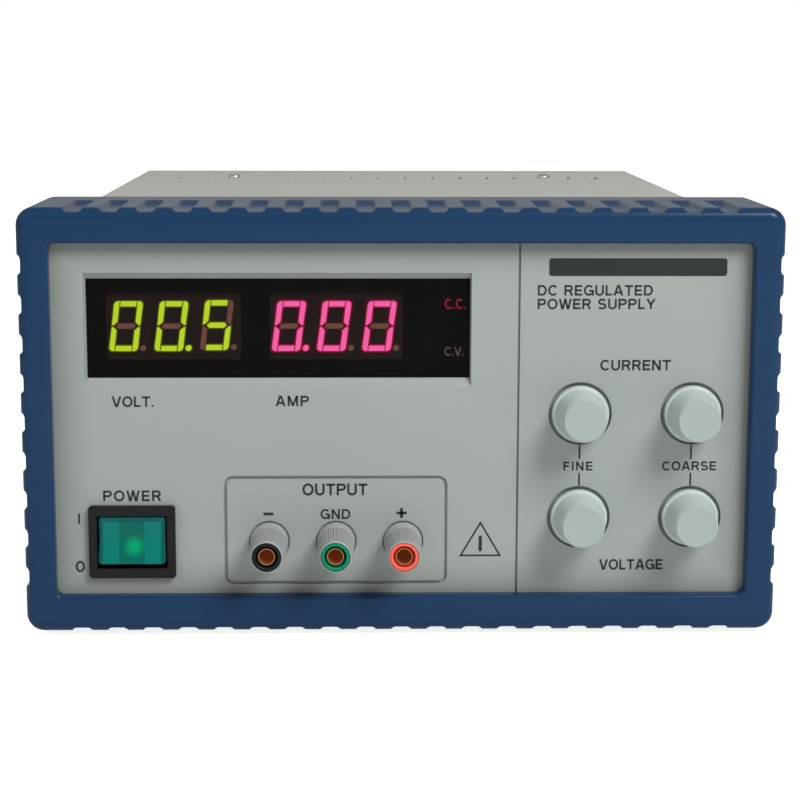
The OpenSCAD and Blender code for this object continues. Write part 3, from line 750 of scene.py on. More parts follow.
@dataclass
class Bumper:
    """The blue moulded frame round the front, with grip notches on all four sides."""

    width: float = 214.0
    height: float = 121.0
    depth: float = 45.0
    corner: float = 5.0
    opening: Point2 = (196.4, 100.6)
    opening_corner: float = 2.0
    opening_z: float = 0.3
    pocket: Point2 = (204.8, 108.0)
    pocket_corner: float = 2.2
    lip: float = 4.0
    edge: float = 3.0
    lip_edge: float = 1.0
    back_edge: float = 0.9
    notch_depth: float = 1.2
    notch_half_mouth: float = 2.9
    notch_half_floor: float = 2.05
    notch_end: float = 29.0
    notch_fade: tuple[Point2, ...] = ((-3.2, 1.0), (-2.4, 0.92), (0.4, 0.08), (1.0, 0.0))
    across: tuple[int, float] = (19, 10.13)
    up: tuple[int, float] = (9, 11.13)

    def stations(self) -> list[tuple[int, str, float, float]]:
        """Stations round the rim.

        Returns:
            For each station, its side, whether it is on a side or a corner, how far along it is, and
            how much of the notch depth it has. A side runs from -1 to 1, and a corner from 0 to 1.
        """
        mouth, floor = self.notch_half_mouth, self.notch_half_floor
        shape = [(-mouth - 0.3, 0.0), (-mouth + 0.05, 0.1), (-floor - 0.12, 0.86), (-floor + 0.3, 1.0),
                 (floor - 0.3, 1.0), (floor + 0.12, 0.86), (mouth - 0.05, 0.1), (mouth + 0.3, 0.0)]
        found: list[tuple[int, str, float, float]] = []
        for side in range(4):
            length = (self.height if side % 2 == 0 else self.width) / 2 - self.corner
            count, pitch = self.up if side % 2 == 0 else self.across
            found.append((side, "side", -1.0, 0.0))
            for i in range(count):
                middle = (i - (count - 1) / 2) * pitch
                found += [(side, "side", (middle + s) / length, d) for s, d in shape]
            found.append((side, "side", 1.0, 0.0))
            found += [(side, "corner", k / 8, 0.0) for k in range(1, 8)]
        return found

    def rim(self, size: Point2, radius: float, inset: float, notch: float, y: float,
            centre_z: float = 0.0) -> list[Point3]:
        """One ring of points round the rim.

        Args:
            size: Width and height of the outline.
            radius: Its corner radius.
            inset: How far the ring is drawn in from the outline.
            notch: Depth of the notches on this ring.
            y: Distance from the front face.
            centre_z: Height of the outline's middle.

        Returns:
            The ring's points, anticlockwise from the front, from the lower right corner up.
        """
        normals = [(1, 0), (0, 1), (-1, 0), (0, -1)]
        points: list[Point3] = []
        for side, kind, along, depth in self.stations():
            nx, nz = normals[side]
            tx, tz = -nz, nx
            half = (size[0] / 2, size[1] / 2) if side % 2 == 0 else (size[1] / 2, size[0] / 2)
            straight = half[1] - radius
            if kind == "side":
                out = half[0] - (max(inset, notch * depth) if notch else inset)
                x, z = nx * out + tx * along * straight, nz * out + tz * along * straight
            else:
                turn = math.radians(90) * along
                reach = max(radius - inset, 0.02)
                bend = (half[0] - radius + reach * math.cos(turn), straight + reach * math.sin(turn))
                x, z = nx * bend[0] + tx * bend[1], nz * bend[0] + tz * bend[1]
            points.append((x, y, z + centre_z))
        return points

    def build(self, shop: Workshop) -> None:
        """Makes the bumper."""
        outer, opening = (self.width, self.height), self.opening
        rings = []
        for y, inset in ((self.depth - 0.5, 0.0), (self.lip + 0.3, 0.0), (self.lip, 0.3)):
            rings.append(self.rim(self.pocket, self.pocket_corner, inset, 0, y))
        rings.append(self.rim(opening, self.opening_corner, -0.25, 0, self.lip, self.opening_z))
        rings.append(self.rim(opening, self.opening_corner, 0, 0, self.lip - 0.25, self.opening_z))
        for far, near in quarter(4):
            rings.append(self.rim(opening, self.opening_corner, -self.lip_edge * far, 0,
                                  self.lip_edge * near, self.opening_z))
        rings.append(self.rim(opening, self.opening_corner, -self.lip_edge - 0.5, 0, 0, self.opening_z))
        rings.append(self.rim(outer, self.corner, self.edge + 0.6, 0, 0))
        for far, near in quarter(8):
            rings.append(self.rim(outer, self.corner, self.edge * near, self.notch_depth, self.edge * far))
        for past, share in self.notch_fade:
            rings.append(self.rim(outer, self.corner, 0, self.notch_depth * share, self.notch_end + past))
        for far, near in quarter(3):
            rings.append(self.rim(outer, self.corner, self.back_edge * far, 0,
                                  self.depth - self.back_edge * near))
        rings.append(self.rim(self.pocket, self.pocket_corner, -0.5, 0, self.depth))
        shell = Shell()
        shell.loops(rings, closed=True)
        shop.piece("bumper", shell, ["bumper_plastic"], stands_for=["front_bumper"])


# --------------------------------------------------------------------------- display


class Segment(Enum):
    """The bars of one digit, and its point."""

    TOP = "a"
    UPPER_RIGHT = "b"
    LOWER_RIGHT = "c"
    BOTTOM = "d"
    LOWER_LEFT = "e"
    UPPER_LEFT = "f"
    MIDDLE = "g"
    POINT = "p"


GLYPHS = {"0": "abcdef", "5": "acdfg"}


@dataclass
class LedBlock:
    """A three-digit LED display with slanted seven-segment digits."""

    name: str
    node: str
    reading: str
    lit: str
    halo: str
    start_x: float
    base_z: float = 19.35
    digit_width: float = 8.1
    digit_height: float = 14.2
    pitch: float = 12.8
    stroke: float = 1.5
    gap: float = 0.3
    slant: float = math.radians(7.4)
    face_y: float = DISPLAY_FACE
    lit_rise: float = 0.3
    unlit_rise: float = 0.2
    glow_rise: float = 0.12
    sink: float = 0.02
    glow_margin: float = 0.4
    lifts: tuple[float, float, float] = (0.0, 0.0, 0.0)

    def outline(self, bar: Segment) -> list[Point2]:
        """Outline of one bar before the digit is slanted.

        Args:
            bar: Which bar.

        Returns:
            Points measured from the digit's lower left corner.
        """
        w, h, t, g = self.digit_width, self.digit_height, self.stroke, self.gap
        m = h / 2
        upper_left = [(0.08, m + g), (0.55, m + g), (t, m + 0.62 * t + g), (t, h), (0.95, h),
                      (0.3, h - 0.3), (0, h - 0.95)]
        if bar is Segment.UPPER_LEFT:
            return upper_left
        if bar is Segment.UPPER_RIGHT:
            return [(w - x, z) for x, z in reversed(upper_left)]
        if bar is Segment.LOWER_LEFT:
            return [(x, h - z) for x, z in reversed(upper_left)]
        if bar is Segment.LOWER_RIGHT:
            return [(w - x, h - z) for x, z in upper_left]
        if bar is Segment.TOP:
            return [(t + g, h - t), (w - t - g, h - t), (w - t - g, h), (t + g, h)]
        if bar is Segment.BOTTOM:
            return [(t + g, 0), (w - t - g, 0), (w - t - g, t), (t + g, t)]
        if bar is Segment.MIDDLE:
            side = t * 0.5
            tip = 0.95 + g
            return [(tip, m), (tip + side, m - side), (w - tip - side, m - side), (w - tip, m),
                    (w - tip - side, m + side), (tip + side, m + side)]
        return arc((w + 1.5, 0.85), 0.84, 0, 345, 23)

    def leaned(self, points: Sequence[Point2], digit: int) -> list[Point2]:
        """Slants points and moves them to their digit."""
        x0 = self.start_x + digit * self.pitch
        z0 = self.base_z + self.lifts[digit]
        return [(x0 + x + z * math.tan(self.slant), z0 + z) for x, z in points]

    @staticmethod
    def grown(points: Sequence[Point2], margin: float) -> list[Point2]:
        """Points drawn outwards from their middle by a margin on each side."""
        low = Vector((min(p[0] for p in points), min(p[1] for p in points)))
        high = Vector((max(p[0] for p in points), max(p[1] for p in points)))
        middle, half = (low + high) / 2, (high - low) / 2
        sx, sz = (half.x + margin) / half.x, (half.y + margin) / half.y
        return [(middle.x + (x - middle.x) * sx, middle.y + (z - middle.y) * sz) for x, z in points]

    def build(self, shop: Workshop) -> None:
        """Makes the lit and unlit bars and dresses the block behind them."""
        lit, halo, unlit = Shell(), Shell(), Shell()
        digits = [c for c in self.reading if c != "."]
        point_after = len(self.reading.split(".")[0]) - 1
        for digit, value in enumerate(digits):
            for bar in Segment:
                on = bar.value in GLYPHS[value] or (bar is Segment.POINT and digit == point_after)
                points, back = self.outline(bar), self.face_y + self.sink
                if on:
                    wide = self.grown(points, self.glow_margin)
                    lit.prism(self.leaned(points, digit), self.face_y - self.lit_rise, back)
                    halo.prism(self.leaned(wide, digit), self.face_y - self.glow_rise, back)
                else:
                    unlit.prism(self.leaned(points, digit), self.face_y - self.unlit_rise, back)
        shop.piece(self.name + "_lit_bars", lit, [self.lit])
        shop.piece(self.name + "_glow", halo, [self.halo])
        shop.piece(self.name + "_unlit_bars", unlit, ["bar_unlit"])
        shop.dress(self.node, "led_lens", 0.25)


@dataclass
class ModeLamps:
    """The two small lit legends at the right of the display."""

    legends: tuple[tuple[str, str, str, Point2, Point2], ...] = (
        ("current_lamp_legend", "legend_lit", "C.C.", (12.3, 18.1), (31.3, 34.2)),
        ("voltage_lamp_legend", "legend_dim", "C.V.", (12.3, 17.6), (17.95, 20.45)),
    )
    weight: float = 0.15
    rise: float = 0.1
    thickness: float = 0.14

    def build(self, shop: Workshop) -> None:
        """Makes both legends and dresses the block behind them."""
        letters = Letters(self.weight)
        for name, finish, text, across, up in self.legends:
            legend = letters.fit(text, across, up, DISPLAY_FACE - self.rise, self.thickness)
            shop.piece(name, legend, [finish])
        shop.dress("mode_indicators", "lamp_block", 0.25)


# --------------------------------------------------------------------------- legends


@dataclass
class Letters:
    """Plain upright sans-serif capitals drawn as strokes, with a cap height of 1."""

    weight: float = 0.185
    least_gap: float = 0.13

    def strokes(self, letter: str) -> tuple[float, list[list[Point2]]]:
        """Width and centre lines of one letter.

        Args:
            letter: The letter.

        Returns:
            Its width, and its strokes. A stroke whose ends meet is closed.
        """
        h = self.weight / 2
        top, middle = 1 - h, 0.5
        stem = [(h, 0), (h, 1)]
        round_c = bow((0.46, 0.5), (0.39, 0.43), 42, 318)
        bowl = [(h, top), (0.46, top), *bow((0.46, 0.7), (0.25, 0.225), 80, -80, 8), (0.46, 0.475),
                (h, 0.475)]
        shapes: dict[str, tuple[float, list[list[Point2]]]] = {
            "A": (0.88, [[(0.06, 0), (0.41, 1)], [(0.82, 0), (0.47, 1)], [(0.2, 0.3), (0.68, 0.3)]]),
            "C": (0.86, [round_c]),
            "D": (0.84, [[(h, h), (h, top), (0.38, top), *bow((0.38, 0.5), (0.385, 0.43), 80, -80, 12),
                          (0.38, h), (h, h)]]),
            "E": (0.72, [stem, [(h, top), (0.7, top)], [(h, middle), (0.66, middle)], [(h, h), (0.72, h)]]),
            "F": (0.66, [stem, [(h, top), (0.66, top)], [(h, middle), (0.6, middle)]]),
            "G": (0.9, [round_c, [(0.84, 0), (0.84, 0.5)], [(0.5, 0.46), (0.84, 0.46)]]),
            "I": (2 * h, [stem]),
            "L": (0.62, [stem, [(h, h), (0.62, h)]]),
            "M": (0.98, [stem, [(0.98 - h, 0), (0.98 - h, 1)], [(0.12, 0.97), (0.49, 0.04)],
                         [(0.86, 0.97), (0.49, 0.04)]]),
            "N": (0.82, [stem, [(0.82 - h, 0), (0.82 - h, 1)], [(0.1, 0.96), (0.72, 0.04)]]),
            "O": (0.94, [bow((0.47, 0.5), (0.395, 0.43), 0, 360, 24)]),
            "P": (0.78, [stem, bowl]),
            "R": (0.82, [stem, bowl, [(0.5, 0.47), (0.74, 0)]]),
            "S": (0.8, [[*bow((0.4, 0.71), (0.3, 0.22), 25, 250, 12),
                         *bow((0.4, 0.285), (0.325, 0.215), 70, -155, 12)]]),
            "T": (0.78, [[(0, top), (0.78, top)], [(0.39, 0), (0.39, top)]]),
            "U": (0.82, [[(h, 1), (h, 0.38), *bow((0.41, 0.38), (0.335, 0.31), 190, 350, 10),
                          (0.82 - h, 0.38), (0.82 - h, 1)]]),
            "V": (0.84, [[(0.06, 1), (0.39, 0)], [(0.78, 1), (0.45, 0)]]),
            "W": (1.16, [[(0.06, 1), (0.3, 0)], [(0.58, 1), (0.33, 0)], [(0.58, 1), (0.83, 0)],
                         [(1.1, 1), (0.86, 0)]]),
            "Y": (0.84, [[(0.07, 1), (0.42, 0.42)], [(0.77, 1), (0.42, 0.42)], [(0.42, 0), (0.42, 0.45)]]),
            ".": (2 * h, [[(h, 0), (h, 0.16)]]),
            "0": (0.8, [bow((0.4, 0.5), (0.31, 0.42), 0, 360, 24)]),
            " ": (0.34, []),
        }
        return shapes[letter]

    def ribbon(self, shell: Shell, line: Sequence[Point2], weight: float, y0: float, y1: float) -> None:
        """Adds one stroke as a raised ribbon.

        Args:
            shell: The shell it goes into.
            line: The stroke's centre line, in millimetres.
            weight: The stroke's width.
            y0: Front of the ribbon.
            y1: Back of the ribbon.
        """
        closed = math.dist(line[0], line[-1]) < 1e-6
        points = [Vector(q) for q in (line[:-1] if closed else line)]
        count = len(points)
        sides: list[tuple[Vector, Vector]] = []
        for i, point in enumerate(points):
            before = points[i - 1] if closed or i > 0 else None
            after = points[(i + 1) % count] if closed or i < count - 1 else None
            ways = []
            if before is not None:
                ways.append((point - before).normalized())
            if after is not None:
                ways.append((after - point).normalized())
            way = sum(ways, Vector((0, 0))).normalized()
            across = Vector((-way.y, way.x))
            spread = max(abs(across.dot(Vector((-ways[0].y, ways[0].x)))), 0.5)
            sides.append((point + across * weight / 2 / spread, point - across * weight / 2 / spread))
        rings = [[(a.x, y0, a.y), (b.x, y0, b.y), (b.x, y1, b.y), (a.x, y1, a.y)] for a, b in sides]
        shell.loops(rings, closed)
        if not closed:
            shell.caps(rings)

    def fit(self, text: str, across: Point2, up: Point2, y: float, thickness: float) -> Shell:
        """Raised lettering spaced to fill a box.

        Args:
            text: The letters.
            across: Left and right end, in millimetres.
            up: Baseline and cap height.
            y: Front of the letters.
            thickness: How far they reach back.

        Returns:
            The letters as a shell.
        """
        scale = up[1] - up[0]
        gaps = max(len(text) - 1, 1)
        room = across[1] - across[0]
        widths = [self.strokes(letter)[0] * scale for letter in text]
        free = room - self.least_gap * scale * gaps
        squeeze = min(1.0, free / sum(widths)) if len(text) > 1 else 1.0
        widths = [width * squeeze for width in widths]
        space = (room - sum(widths)) / gaps
        shell = Shell()
        x = across[0]
        for letter, width in zip(text, widths):
            for line in self.strokes(letter)[1]:
                placed = [(x + px * scale * squeeze, up[0] + pz * scale) for px, pz in line]
                self.ribbon(shell, placed, self.weight * scale, y, y + thickness)
            x += width + space
        return shell


@dataclass
class PanelPrint:
    """The printing on the front panel."""

    face_y: float = 4.0
    ink: float = 0.04
    line: float = 0.5
    words: tuple[tuple[str, Point2, Point2], ...] = (
        ("VOLT.", (-81.6, -69.9), (4.15, 7.15)),
        ("AMP", (-35.5, -26.2), (4.3, 7.3)),
        ("POWER", (-84.7, -68.3), (-23.05, -19.95)),
        ("I", (-91.95, -91.5), (-29.6, -26.6)),
        ("0", (-93.0, -90.1), (-43.75, -40.45)),
        ("OUTPUT", (-28.1, -9.7), (-21.45, -18.05)),
        ("GND", (-23.0, -14.6), (-28.35, -25.5)),
        ("CURRENT", (56.1, 76.0), (14.45, 17.45)),
        ("VOLTAGE", (56.9, 75.1), (-43.45, -40.4)),
        ("DC REGULATED", (38.1, 70.4), (35.7, 38.65)),
        ("POWER SUPPLY", (38.1, 71.2), (31.85, 34.8)),
        ("FINE", (46.1, 54.4), (-14.4, -11.8)),
        ("COARSE", (74.3, 89.7), (-14.4, -11.8)),
    )
    signs: tuple[tuple[Point2, Point2], ...] = (
        ((-39.3, -27.25), (-36.5, -26.45)),
        ((-1.4, -27.05), (1.5, -26.25)),
        ((-0.35, -28.1), (0.45, -25.2)),
    )
    title_bar: tuple[Point2, Point2] = ((41.2, 91.2), (41.2, 46.2))
    title_corner: float = 0.8
    knob_ring: float = 9.1
    line_ends: Point2 = (-11.1, -15.1)
    overlap: float = 0.01
    triangle: tuple[Point2, Point2, Point2] = ((16.55, -39.4), (28.65, -39.4), (22.6, -29.1))
    triangle_hollow: float = 0.86
    mark_size: Point2 = (0.95, 4.6)
    mark_corner: float = 0.4
    mark_lift: float = 0.3

    def back(self) -> float:
        """Where the ink meets the panel."""
        return self.face_y + self.overlap

    def front(self) -> float:
        """The ink's own face."""
        return self.face_y - self.ink

    def bar(self, shell: Shell, low: Point2, high: Point2) -> None:
        """Adds a plain printed bar."""
        shell.box((low[0], self.front(), low[1]), (high[0], self.back(), high[1]))

    def build(self, shop: Workshop) -> None:
        """Prints the words, the signs, the lines and the plain marks."""
        ink = Shell()
        letters = Letters()
        for text, across, up in self.words:
            word = letters.fit(text, across, up, self.front(), self.ink + self.overlap)
            ink.add(word.verts, word.faces)
        for low, high in self.signs:
            self.bar(ink, low, high)
        (x0, x1), (z0, z1) = self.title_bar
        middle = ((x0 + x1) / 2, (z0 + z1) / 2)
        outline = rounded_rectangle(middle, (x1 - x0, z1 - z0), self.title_corner)
        ink.prism(outline, self.front(), self.back())
        for x in KNOB_COLUMNS:
            left, right = x - self.line / 2, x + self.line / 2
            self.bar(ink, (left, self.line_ends[0]), (right, KNOB_ROWS[0] - self.knob_ring))
            self.bar(ink, (left, KNOB_ROWS[1] + self.knob_ring), (right, self.line_ends[1]))
        self.add_triangle(ink)
        shop.piece("panel_printing", ink, ["legend_ink"])

    def add_triangle(self, ink: Shell) -> None:
        """Adds a plain triangle outline with a short bar inside."""
        corners = [Vector(p) for p in self.triangle]
        middle = sum(corners, Vector((0, 0))) / 3
        inner = [middle + (c - middle) * self.triangle_hollow for c in corners]
        for i in range(3):
            j = (i + 1) % 3
            quad = [tuple(corners[i]), tuple(corners[j]), tuple(inner[j]), tuple(inner[i])]
            ink.prism(quad, self.front(), self.back())
        x, z = middle
        mark = rounded_rectangle((x, z + self.mark_lift), self.mark_size, self.mark_corner)
        ink.prism(mark, self.front(), self.back())


# --------------------------------------------------------------------------- controls


@dataclass
class ControlKnob:
    """A plain tapered knob with a separate front cap."""

    key: str
    centre: Point2
    back_y: float = 5.0
    front_y: float = -9.3
    radius: float = 8.05
    front_radius: float = 5.93
    bore: float = 3.05

    def build(self, shop: Workshop) -> None:
        """Makes the knob and its cap."""
        reach = self.back_y - self.front_y
        r, f, bore = self.radius, self.front_radius, self.bore
        at = (self.centre[0], self.back_y, self.centre[1])
        body = Shell()
        skirt = [(bore, 0), (r - 0.4, 0), (r - 0.1, 0.15), (r, 0.5), (r, 2.5)]
        rim = arc((r - 0.42, 2.5), 0.42, 0, 80, 5)[1:]
        cone = [(r - 0.75, 3.1), (r - 0.95, 3.6), (f + 0.42, reach - 2.2), (f + 0.16, reach - 0.62)]
        body.lathe([*skirt, *rim, *cone, (f - 0.15, reach - 0.62), (bore, reach - 0.62)], at, FRONT,
                   ROUND_STEPS, closed=True)
        shop.piece("knob_" + self.key + "_body", body, ["knob_grey"], self.key + "_knob",
                   ["knob_" + self.key])
        cap = Shell()
        edge = arc((f - 0.38, reach - 0.38), 0.38, 0, 90, 6)
        cap.lathe([(0, reach - 0.85), (f - 0.2, reach - 0.85), (f, reach - 0.6), *edge,
                   (f - 0.75, reach - 0.06), (f - 1.3, reach - 0.1), (0, reach - 0.1)], at, FRONT,
                  ROUND_STEPS)
        shop.piece("knob_" + self.key + "_cap", cap, ["knob_cap"], self.key + "_knob")


@dataclass
class BindingPost:
    """One output post: a knurled grey cap, a coloured ring, a brass socket and a collar on the panel."""

    color: str
    x: float
    z: float = -34.75
    cap_back: float = 1.8
    cap_length: float = 17.2
    cap_radius: float = 5.25
    cap_front_radius: float = 4.45
    ring_radius: float = 4.1
    ring_front: float = -15.3
    ring_back: float = -9.5
    stud_radius: float = 2.6
    stud_front: float = -14.6
    stud_back: float = 18.0
    socket_radius: float = 2.05
    socket_end: float = 2.6
    clearance: float = 0.06
    seat_depth: float = 6.0

    def build(self, shop: Workshop) -> None:
        """Makes the post's four pieces."""
        key = "post_" + self.color
        at = (self.x, self.cap_back, self.z)
        h, r, f = self.cap_length, self.cap_radius, self.cap_front_radius
        inner, seat = self.stud_radius + self.clearance, self.ring_radius + self.clearance
        floor = h - self.seat_depth
        cap = Shell()
        profile = [(inner, 0), (r - 0.3, 0), (r, 0.3), (r, 1.9), (r - 0.25, 2.2), (r - 0.12, 2.6),
                   (r - 0.12, 8.2), (r - 0.3, 8.7), (f + 0.22, h - 1.5), (f + 0.12, h - 0.7),
                   (f - 0.05, h - 0.12), (f - 0.2, h), (seat, h), (seat, floor), (inner, floor)]
        cap.lathe(profile, at, FRONT, 160, closed=True, ridges=40, ridge_depth=0.3, ridged=(5, 6, 7, 8))
        shop.piece(key + "_grip", cap, ["post_grey"], self.color + "_cap", [key + "_cap"])
        ring = Shell()
        depth, outer = self.ring_back - self.ring_front, self.ring_radius
        ring.lathe([(inner, 0), (outer, 0), (outer, depth - 0.45), (outer - 0.12, depth - 0.15),
                    (outer - 0.4, depth),
                    (inner + 0.6, depth), (inner + 0.42, depth - 0.15), (inner + 0.36, depth - 2.0),
                    (inner, depth - 2.2)],
                   (self.x, self.ring_back, self.z), FRONT, 80, closed=True)
        shop.piece(key + "_bush", ring, ["ring_" + self.color], self.color + "_ring", [key + "_ring"])
        stud = Shell()
        s, b = self.stud_radius, self.socket_radius
        length = self.stud_back - self.stud_front
        bore = self.socket_end - self.stud_front
        stud.lathe([(0, 0), (s - 0.3, 0), (s, 0.3), (s, length - 0.3), (s - 0.28, length),
                    (b + 0.1, length), (b, length - 0.12), (b, length - bore + 0.4),
                    (b - 0.5, length - bore), (0, length - bore)],
                   (self.x, self.stud_back, self.z), FRONT, 72)
        stud.marks = [1 if self.inside(face, stud) else 0 for face in stud.faces]
        shop.piece(key + "_socket", stud, ["socket_brass", "socket_bore"], "root", [key + "_stud"])
        shop.dress(key + "_collar", "post_grey", 0.15)

    def inside(self, face: Sequence[int], shell: Shell) -> bool:
        """Whether a face of the stud lies in its bore."""
        points = [shell.verts[i] for i in face]
        far = max(math.hypot(p.x - self.x, p.z - self.z) for p in points)
        near_y = max(p.y for p in points)
        return far < self.socket_radius + 0.05 and near_y < self.socket_end + 0.1


@dataclass
class PowerSwitch:
    """The rocker in its frame."""

    centre: Point2 = (-76.6, -34.7)
    pivot_y: float = 6.6
    width: float = 19.0
    lean: float = math.radians(-8)
    face: float = -4.2
    bulge: float = 0.72
    bulge_power: float = 1.6
    half_height: float = 6.2
    middle: Point2 = (-0.9, 0.0)

    def section(self, shrink: float) -> list[Point2]:
        """The rocker's side outline as y and z from the pivot, drawn in by a margin.

        Args:
            shrink: How far the outline is drawn in.

        Returns:
            The outline, leaned to its rest place.
        """
        top = [(-4.88, 6.5), (-4.72, 6.74), (-4.4, 6.8)]
        shares = [k / 5 for k in range(-5, 6)]
        front = [(self.face - self.bulge * abs(t) ** self.bulge_power, t * self.half_height) for t in shares]
        back = [(2.6, 5.2), (3.0, 4.8), (3.0, -4.8), (2.6, -5.2)]
        bottom = [(y, -z) for y, z in reversed(top)]
        outline = [*front, *top, *back, *bottom]
        c, s = math.cos(self.lean), math.sin(self.lean)
        points = []
        for y, z in outline:
            dy, dz = y - self.middle[0], z - self.middle[1]
            far = math.hypot(dy, dz)
            keep = (far - shrink) / far
            y, z = self.middle[0] + dy * keep, self.middle[1] + dz * keep
            points.append((y * c - z * s, y * s + z * c))
        return points

    def build(self, shop: Workshop) -> None:
        """Makes the rocker and dresses the frame, the lamp and the terminals."""
        half = self.width / 2
        stations = [(-half, 0.9), (-half + 0.12, 0.5), (-half + 0.4, 0.18), (-half + 0.9, 0.0), (0.0, 0.0),
                    (half - 0.9, 0.0), (half - 0.4, 0.18), (half - 0.12, 0.5), (half, 0.9)]
        rings = []
        for x, shrink in stations:
            rings.append([(self.centre[0] + x, self.pivot_y + y, self.centre[1] + z)
                          for y, z in self.section(shrink)])
        rocker = Shell()
        rocker.loops(rings)
        rocker.caps(rings)
        shop.piece("rocker_button", rocker, ["rocker_green"], "rocker", ["switch_rocker"])
        shop.dress("switch_frame", "switch_black", 0.2)
        shop.dress("switch_lamp", "lamp_glass")
        shop.dress("switch_terminals", "terminal_brass")


# --------------------------------------------------------------------------- hardware


@dataclass
class PanScrew:
    """A domed screw with a cross recess, made once and copied."""

    head_radius: float = 2.375
    head_height: float = 1.6
    shank_radius: float = 1.3
    arm: Point2 = (1.35, 0.36)
    arm_depth: float = 1.15
    taper: Point2 = (1.2, 0.55)

    def template(self, shank: float) -> Shell:
        """One screw whose head rises along +Z from the origin.

        Args:
            shank: Length of the shank below the head.

        Returns:
            The screw's shape.
        """
        r, h, s = self.head_radius, self.head_height, self.shank_radius
        solid = Shell()
        dome = [(r * math.cos(math.radians(a)), h * 0.35 + h * 0.65 * math.sin(math.radians(a)))
                for a in range(0, 90, 15)]
        solid.lathe([(0, -shank), (s - 0.3, -shank), (s, -shank + 0.3), (s, -0.01), (r - 0.1, 0), (r, 0.12),
                     *dome, (0, h)], (0, 0, 0), UP, 40)
        cutter = Shell()
        long, wide = self.arm
        corners = [(-long, -wide), (long, -wide), (long, wide), (-long, wide)]
        for turn in (0.0, math.pi / 2):
            c, s = math.cos(turn), math.sin(turn)
            verts = [(x * keep * c - y * s, x * keep * s + y * c, z)
                     for z, keep in zip((h + 1, h - self.arm_depth), self.taper) for x, y in corners]
            sides = [(i, 4 + i, 4 + (i + 1) % 4, (i + 1) % 4) for i in range(4)]
            cutter.add(verts, [(0, 1, 2, 3), (7, 6, 5, 4), *sides])
        return self.cut(solid, cutter)

    @staticmethod
    def cut(solid: Shell, cutter: Shell) -> Shell:
        """Takes one shell away from another.

        Args:
            solid: The shell to keep.
            cutter: The shell to take away.

        Returns:
            What is left.
        """
        here = FrontAxes(Vector((0, 0, 0)))
        objects = []
        for name, shell in (("screw_solid", solid), ("screw_cutter", cutter)):
            obj = bpy.data.objects.new(name, shell.to_mesh(name, here))
            bpy.context.scene.collection.objects.link(obj)
            objects.append(obj)
        cut = objects[0].modifiers.new("recess", "BOOLEAN")
        cut.operation = "DIFFERENCE"
        cut.solver = "EXACT"
        cut.use_self = True
        cut.object = objects[1]
        bpy.context.view_layer.update()
        graph = bpy.context.evaluated_depsgraph_get()
        mesh = bpy.data.meshes.new_from_object(objects[0].evaluated_get(graph))
        left = Shell()
        left.add([v.co / MM for v in mesh.vertices], [tuple(p.vertices) for p in mesh.polygons])
        for obj in objects:
            bpy.data.objects.remove(obj)
        bpy.data.meshes.remove(mesh)
        return left


@dataclass
class CaseScrews:
    """Every screw that shows on the case, the feet and the fan."""

    top: tuple[Point3, ...] = ((-61.5, 247.0, 53.9), (61.5, 247.0, 53.9))
    side_y: Point2 = (95.0, 237.0)
    side_z: float = -44.7
    side_x: float = 102.3
    rear_corner: Point2 = (92.7, 48.2)
    rear_y: float = 297.0
    inlet: tuple[Point3, ...] = ((-82.0, 299.5, -12.0), (-42.0, 299.5, -12.0))
    fan_spacing: float = 35.75
    fan_y: float = 299.15
    feet_z: float = -58.0

    def build(self, shop: Workshop) -> None:
        """Places copies of the screw."""
        screw = PanScrew()
        short, long, foot = screw.template(3.0), screw.template(26.0), screw.template(9.0)
        corners = [(side, up) for side in (-1, 1) for up in (-1, 1)]
        case = Shell()
        for index, at in enumerate(self.top):
            self.add(case, short, at, UP, 0.4 + index)
        for side in (-1, 1):
            for index, y in enumerate(self.side_y):
                at = (side * self.side_x, y, self.side_z)
                self.add(case, short, at, Vector((side, 0, 0)), 0.9 * index)
        for side, up in corners:
            at = (side * self.rear_corner[0], self.rear_y, up * self.rear_corner[1])
            self.add(case, short, at, BACK, 0.3 + side * up)
        for at in self.inlet:
            self.add(case, short, at, BACK, 0.2)
        shop.piece("case_screw_set", case, ["screw_steel"], stands_for=["case_screws"])
        fan = Shell()
        for side, up in corners:
            at = (FAN_CENTRE[0] + side * self.fan_spacing, self.fan_y,
                  FAN_CENTRE[1] + up * self.fan_spacing)
            self.add(fan, long, at, BACK, 0.5 * side + up)
        shop.piece("fan_screw_set", fan, ["screw_steel"], stands_for=["fan_screws"])
        feet = Shell()
        for x, y in FOOT_PLACES:
            self.add(feet, foot, (x, y, self.feet_z), DOWN, x + y)
        shop.piece("foot_screw_set", feet, ["screw_steel"], stands_for=["foot_screws"])

    @staticmethod
    def add(shell: Shell, screw: Shell, at: Sequence[float], way: Vector, turn: float) -> None:
        """Adds one screw to a set.

        Args:
            shell: The set.
            screw: The screw, with its head along +Z.
            at: Where the head meets the surface.
            way: Which way the head faces.
            turn: Rotation of its recess, in radians.
        """
        facing = way.to_track_quat("Z", "Y").to_matrix().to_4x4()
        matrix = Matrix.Translation(at) @ facing @ Matrix.Rotation(turn, 4, "Z")
        shell.add([matrix @ v for v in screw.verts], screw.faces)


@dataclass
class Feet:
    """Four moulded rubber feet with a recess for the screw."""

    top_z: float = -53.9
    bottom_z: float = -62.0
    radius: float = 8.0

    def build(self, shop: Workshop) -> None:
        """Makes the feet."""
        feet = Shell()
        h, r = self.top_z - self.bottom_z, self.radius
        profile = [(1.55, 0), (r - 0.2, 0), (r, 0.25), (r - 0.35, h - 1.2), (r - 0.6, h - 0.45),
                   (r - 1.25, h), (4.2, h), (3.85, h - 0.25), (3.7, h - 4.0), (1.55, h - 4.0)]
        for x, y in FOOT_PLACES:
            feet.lathe(profile, (x, y, self.top_z), DOWN, 56, closed=True)
        shop.piece("rubber_feet", feet, ["foot_rubber"], stands_for=["feet"])


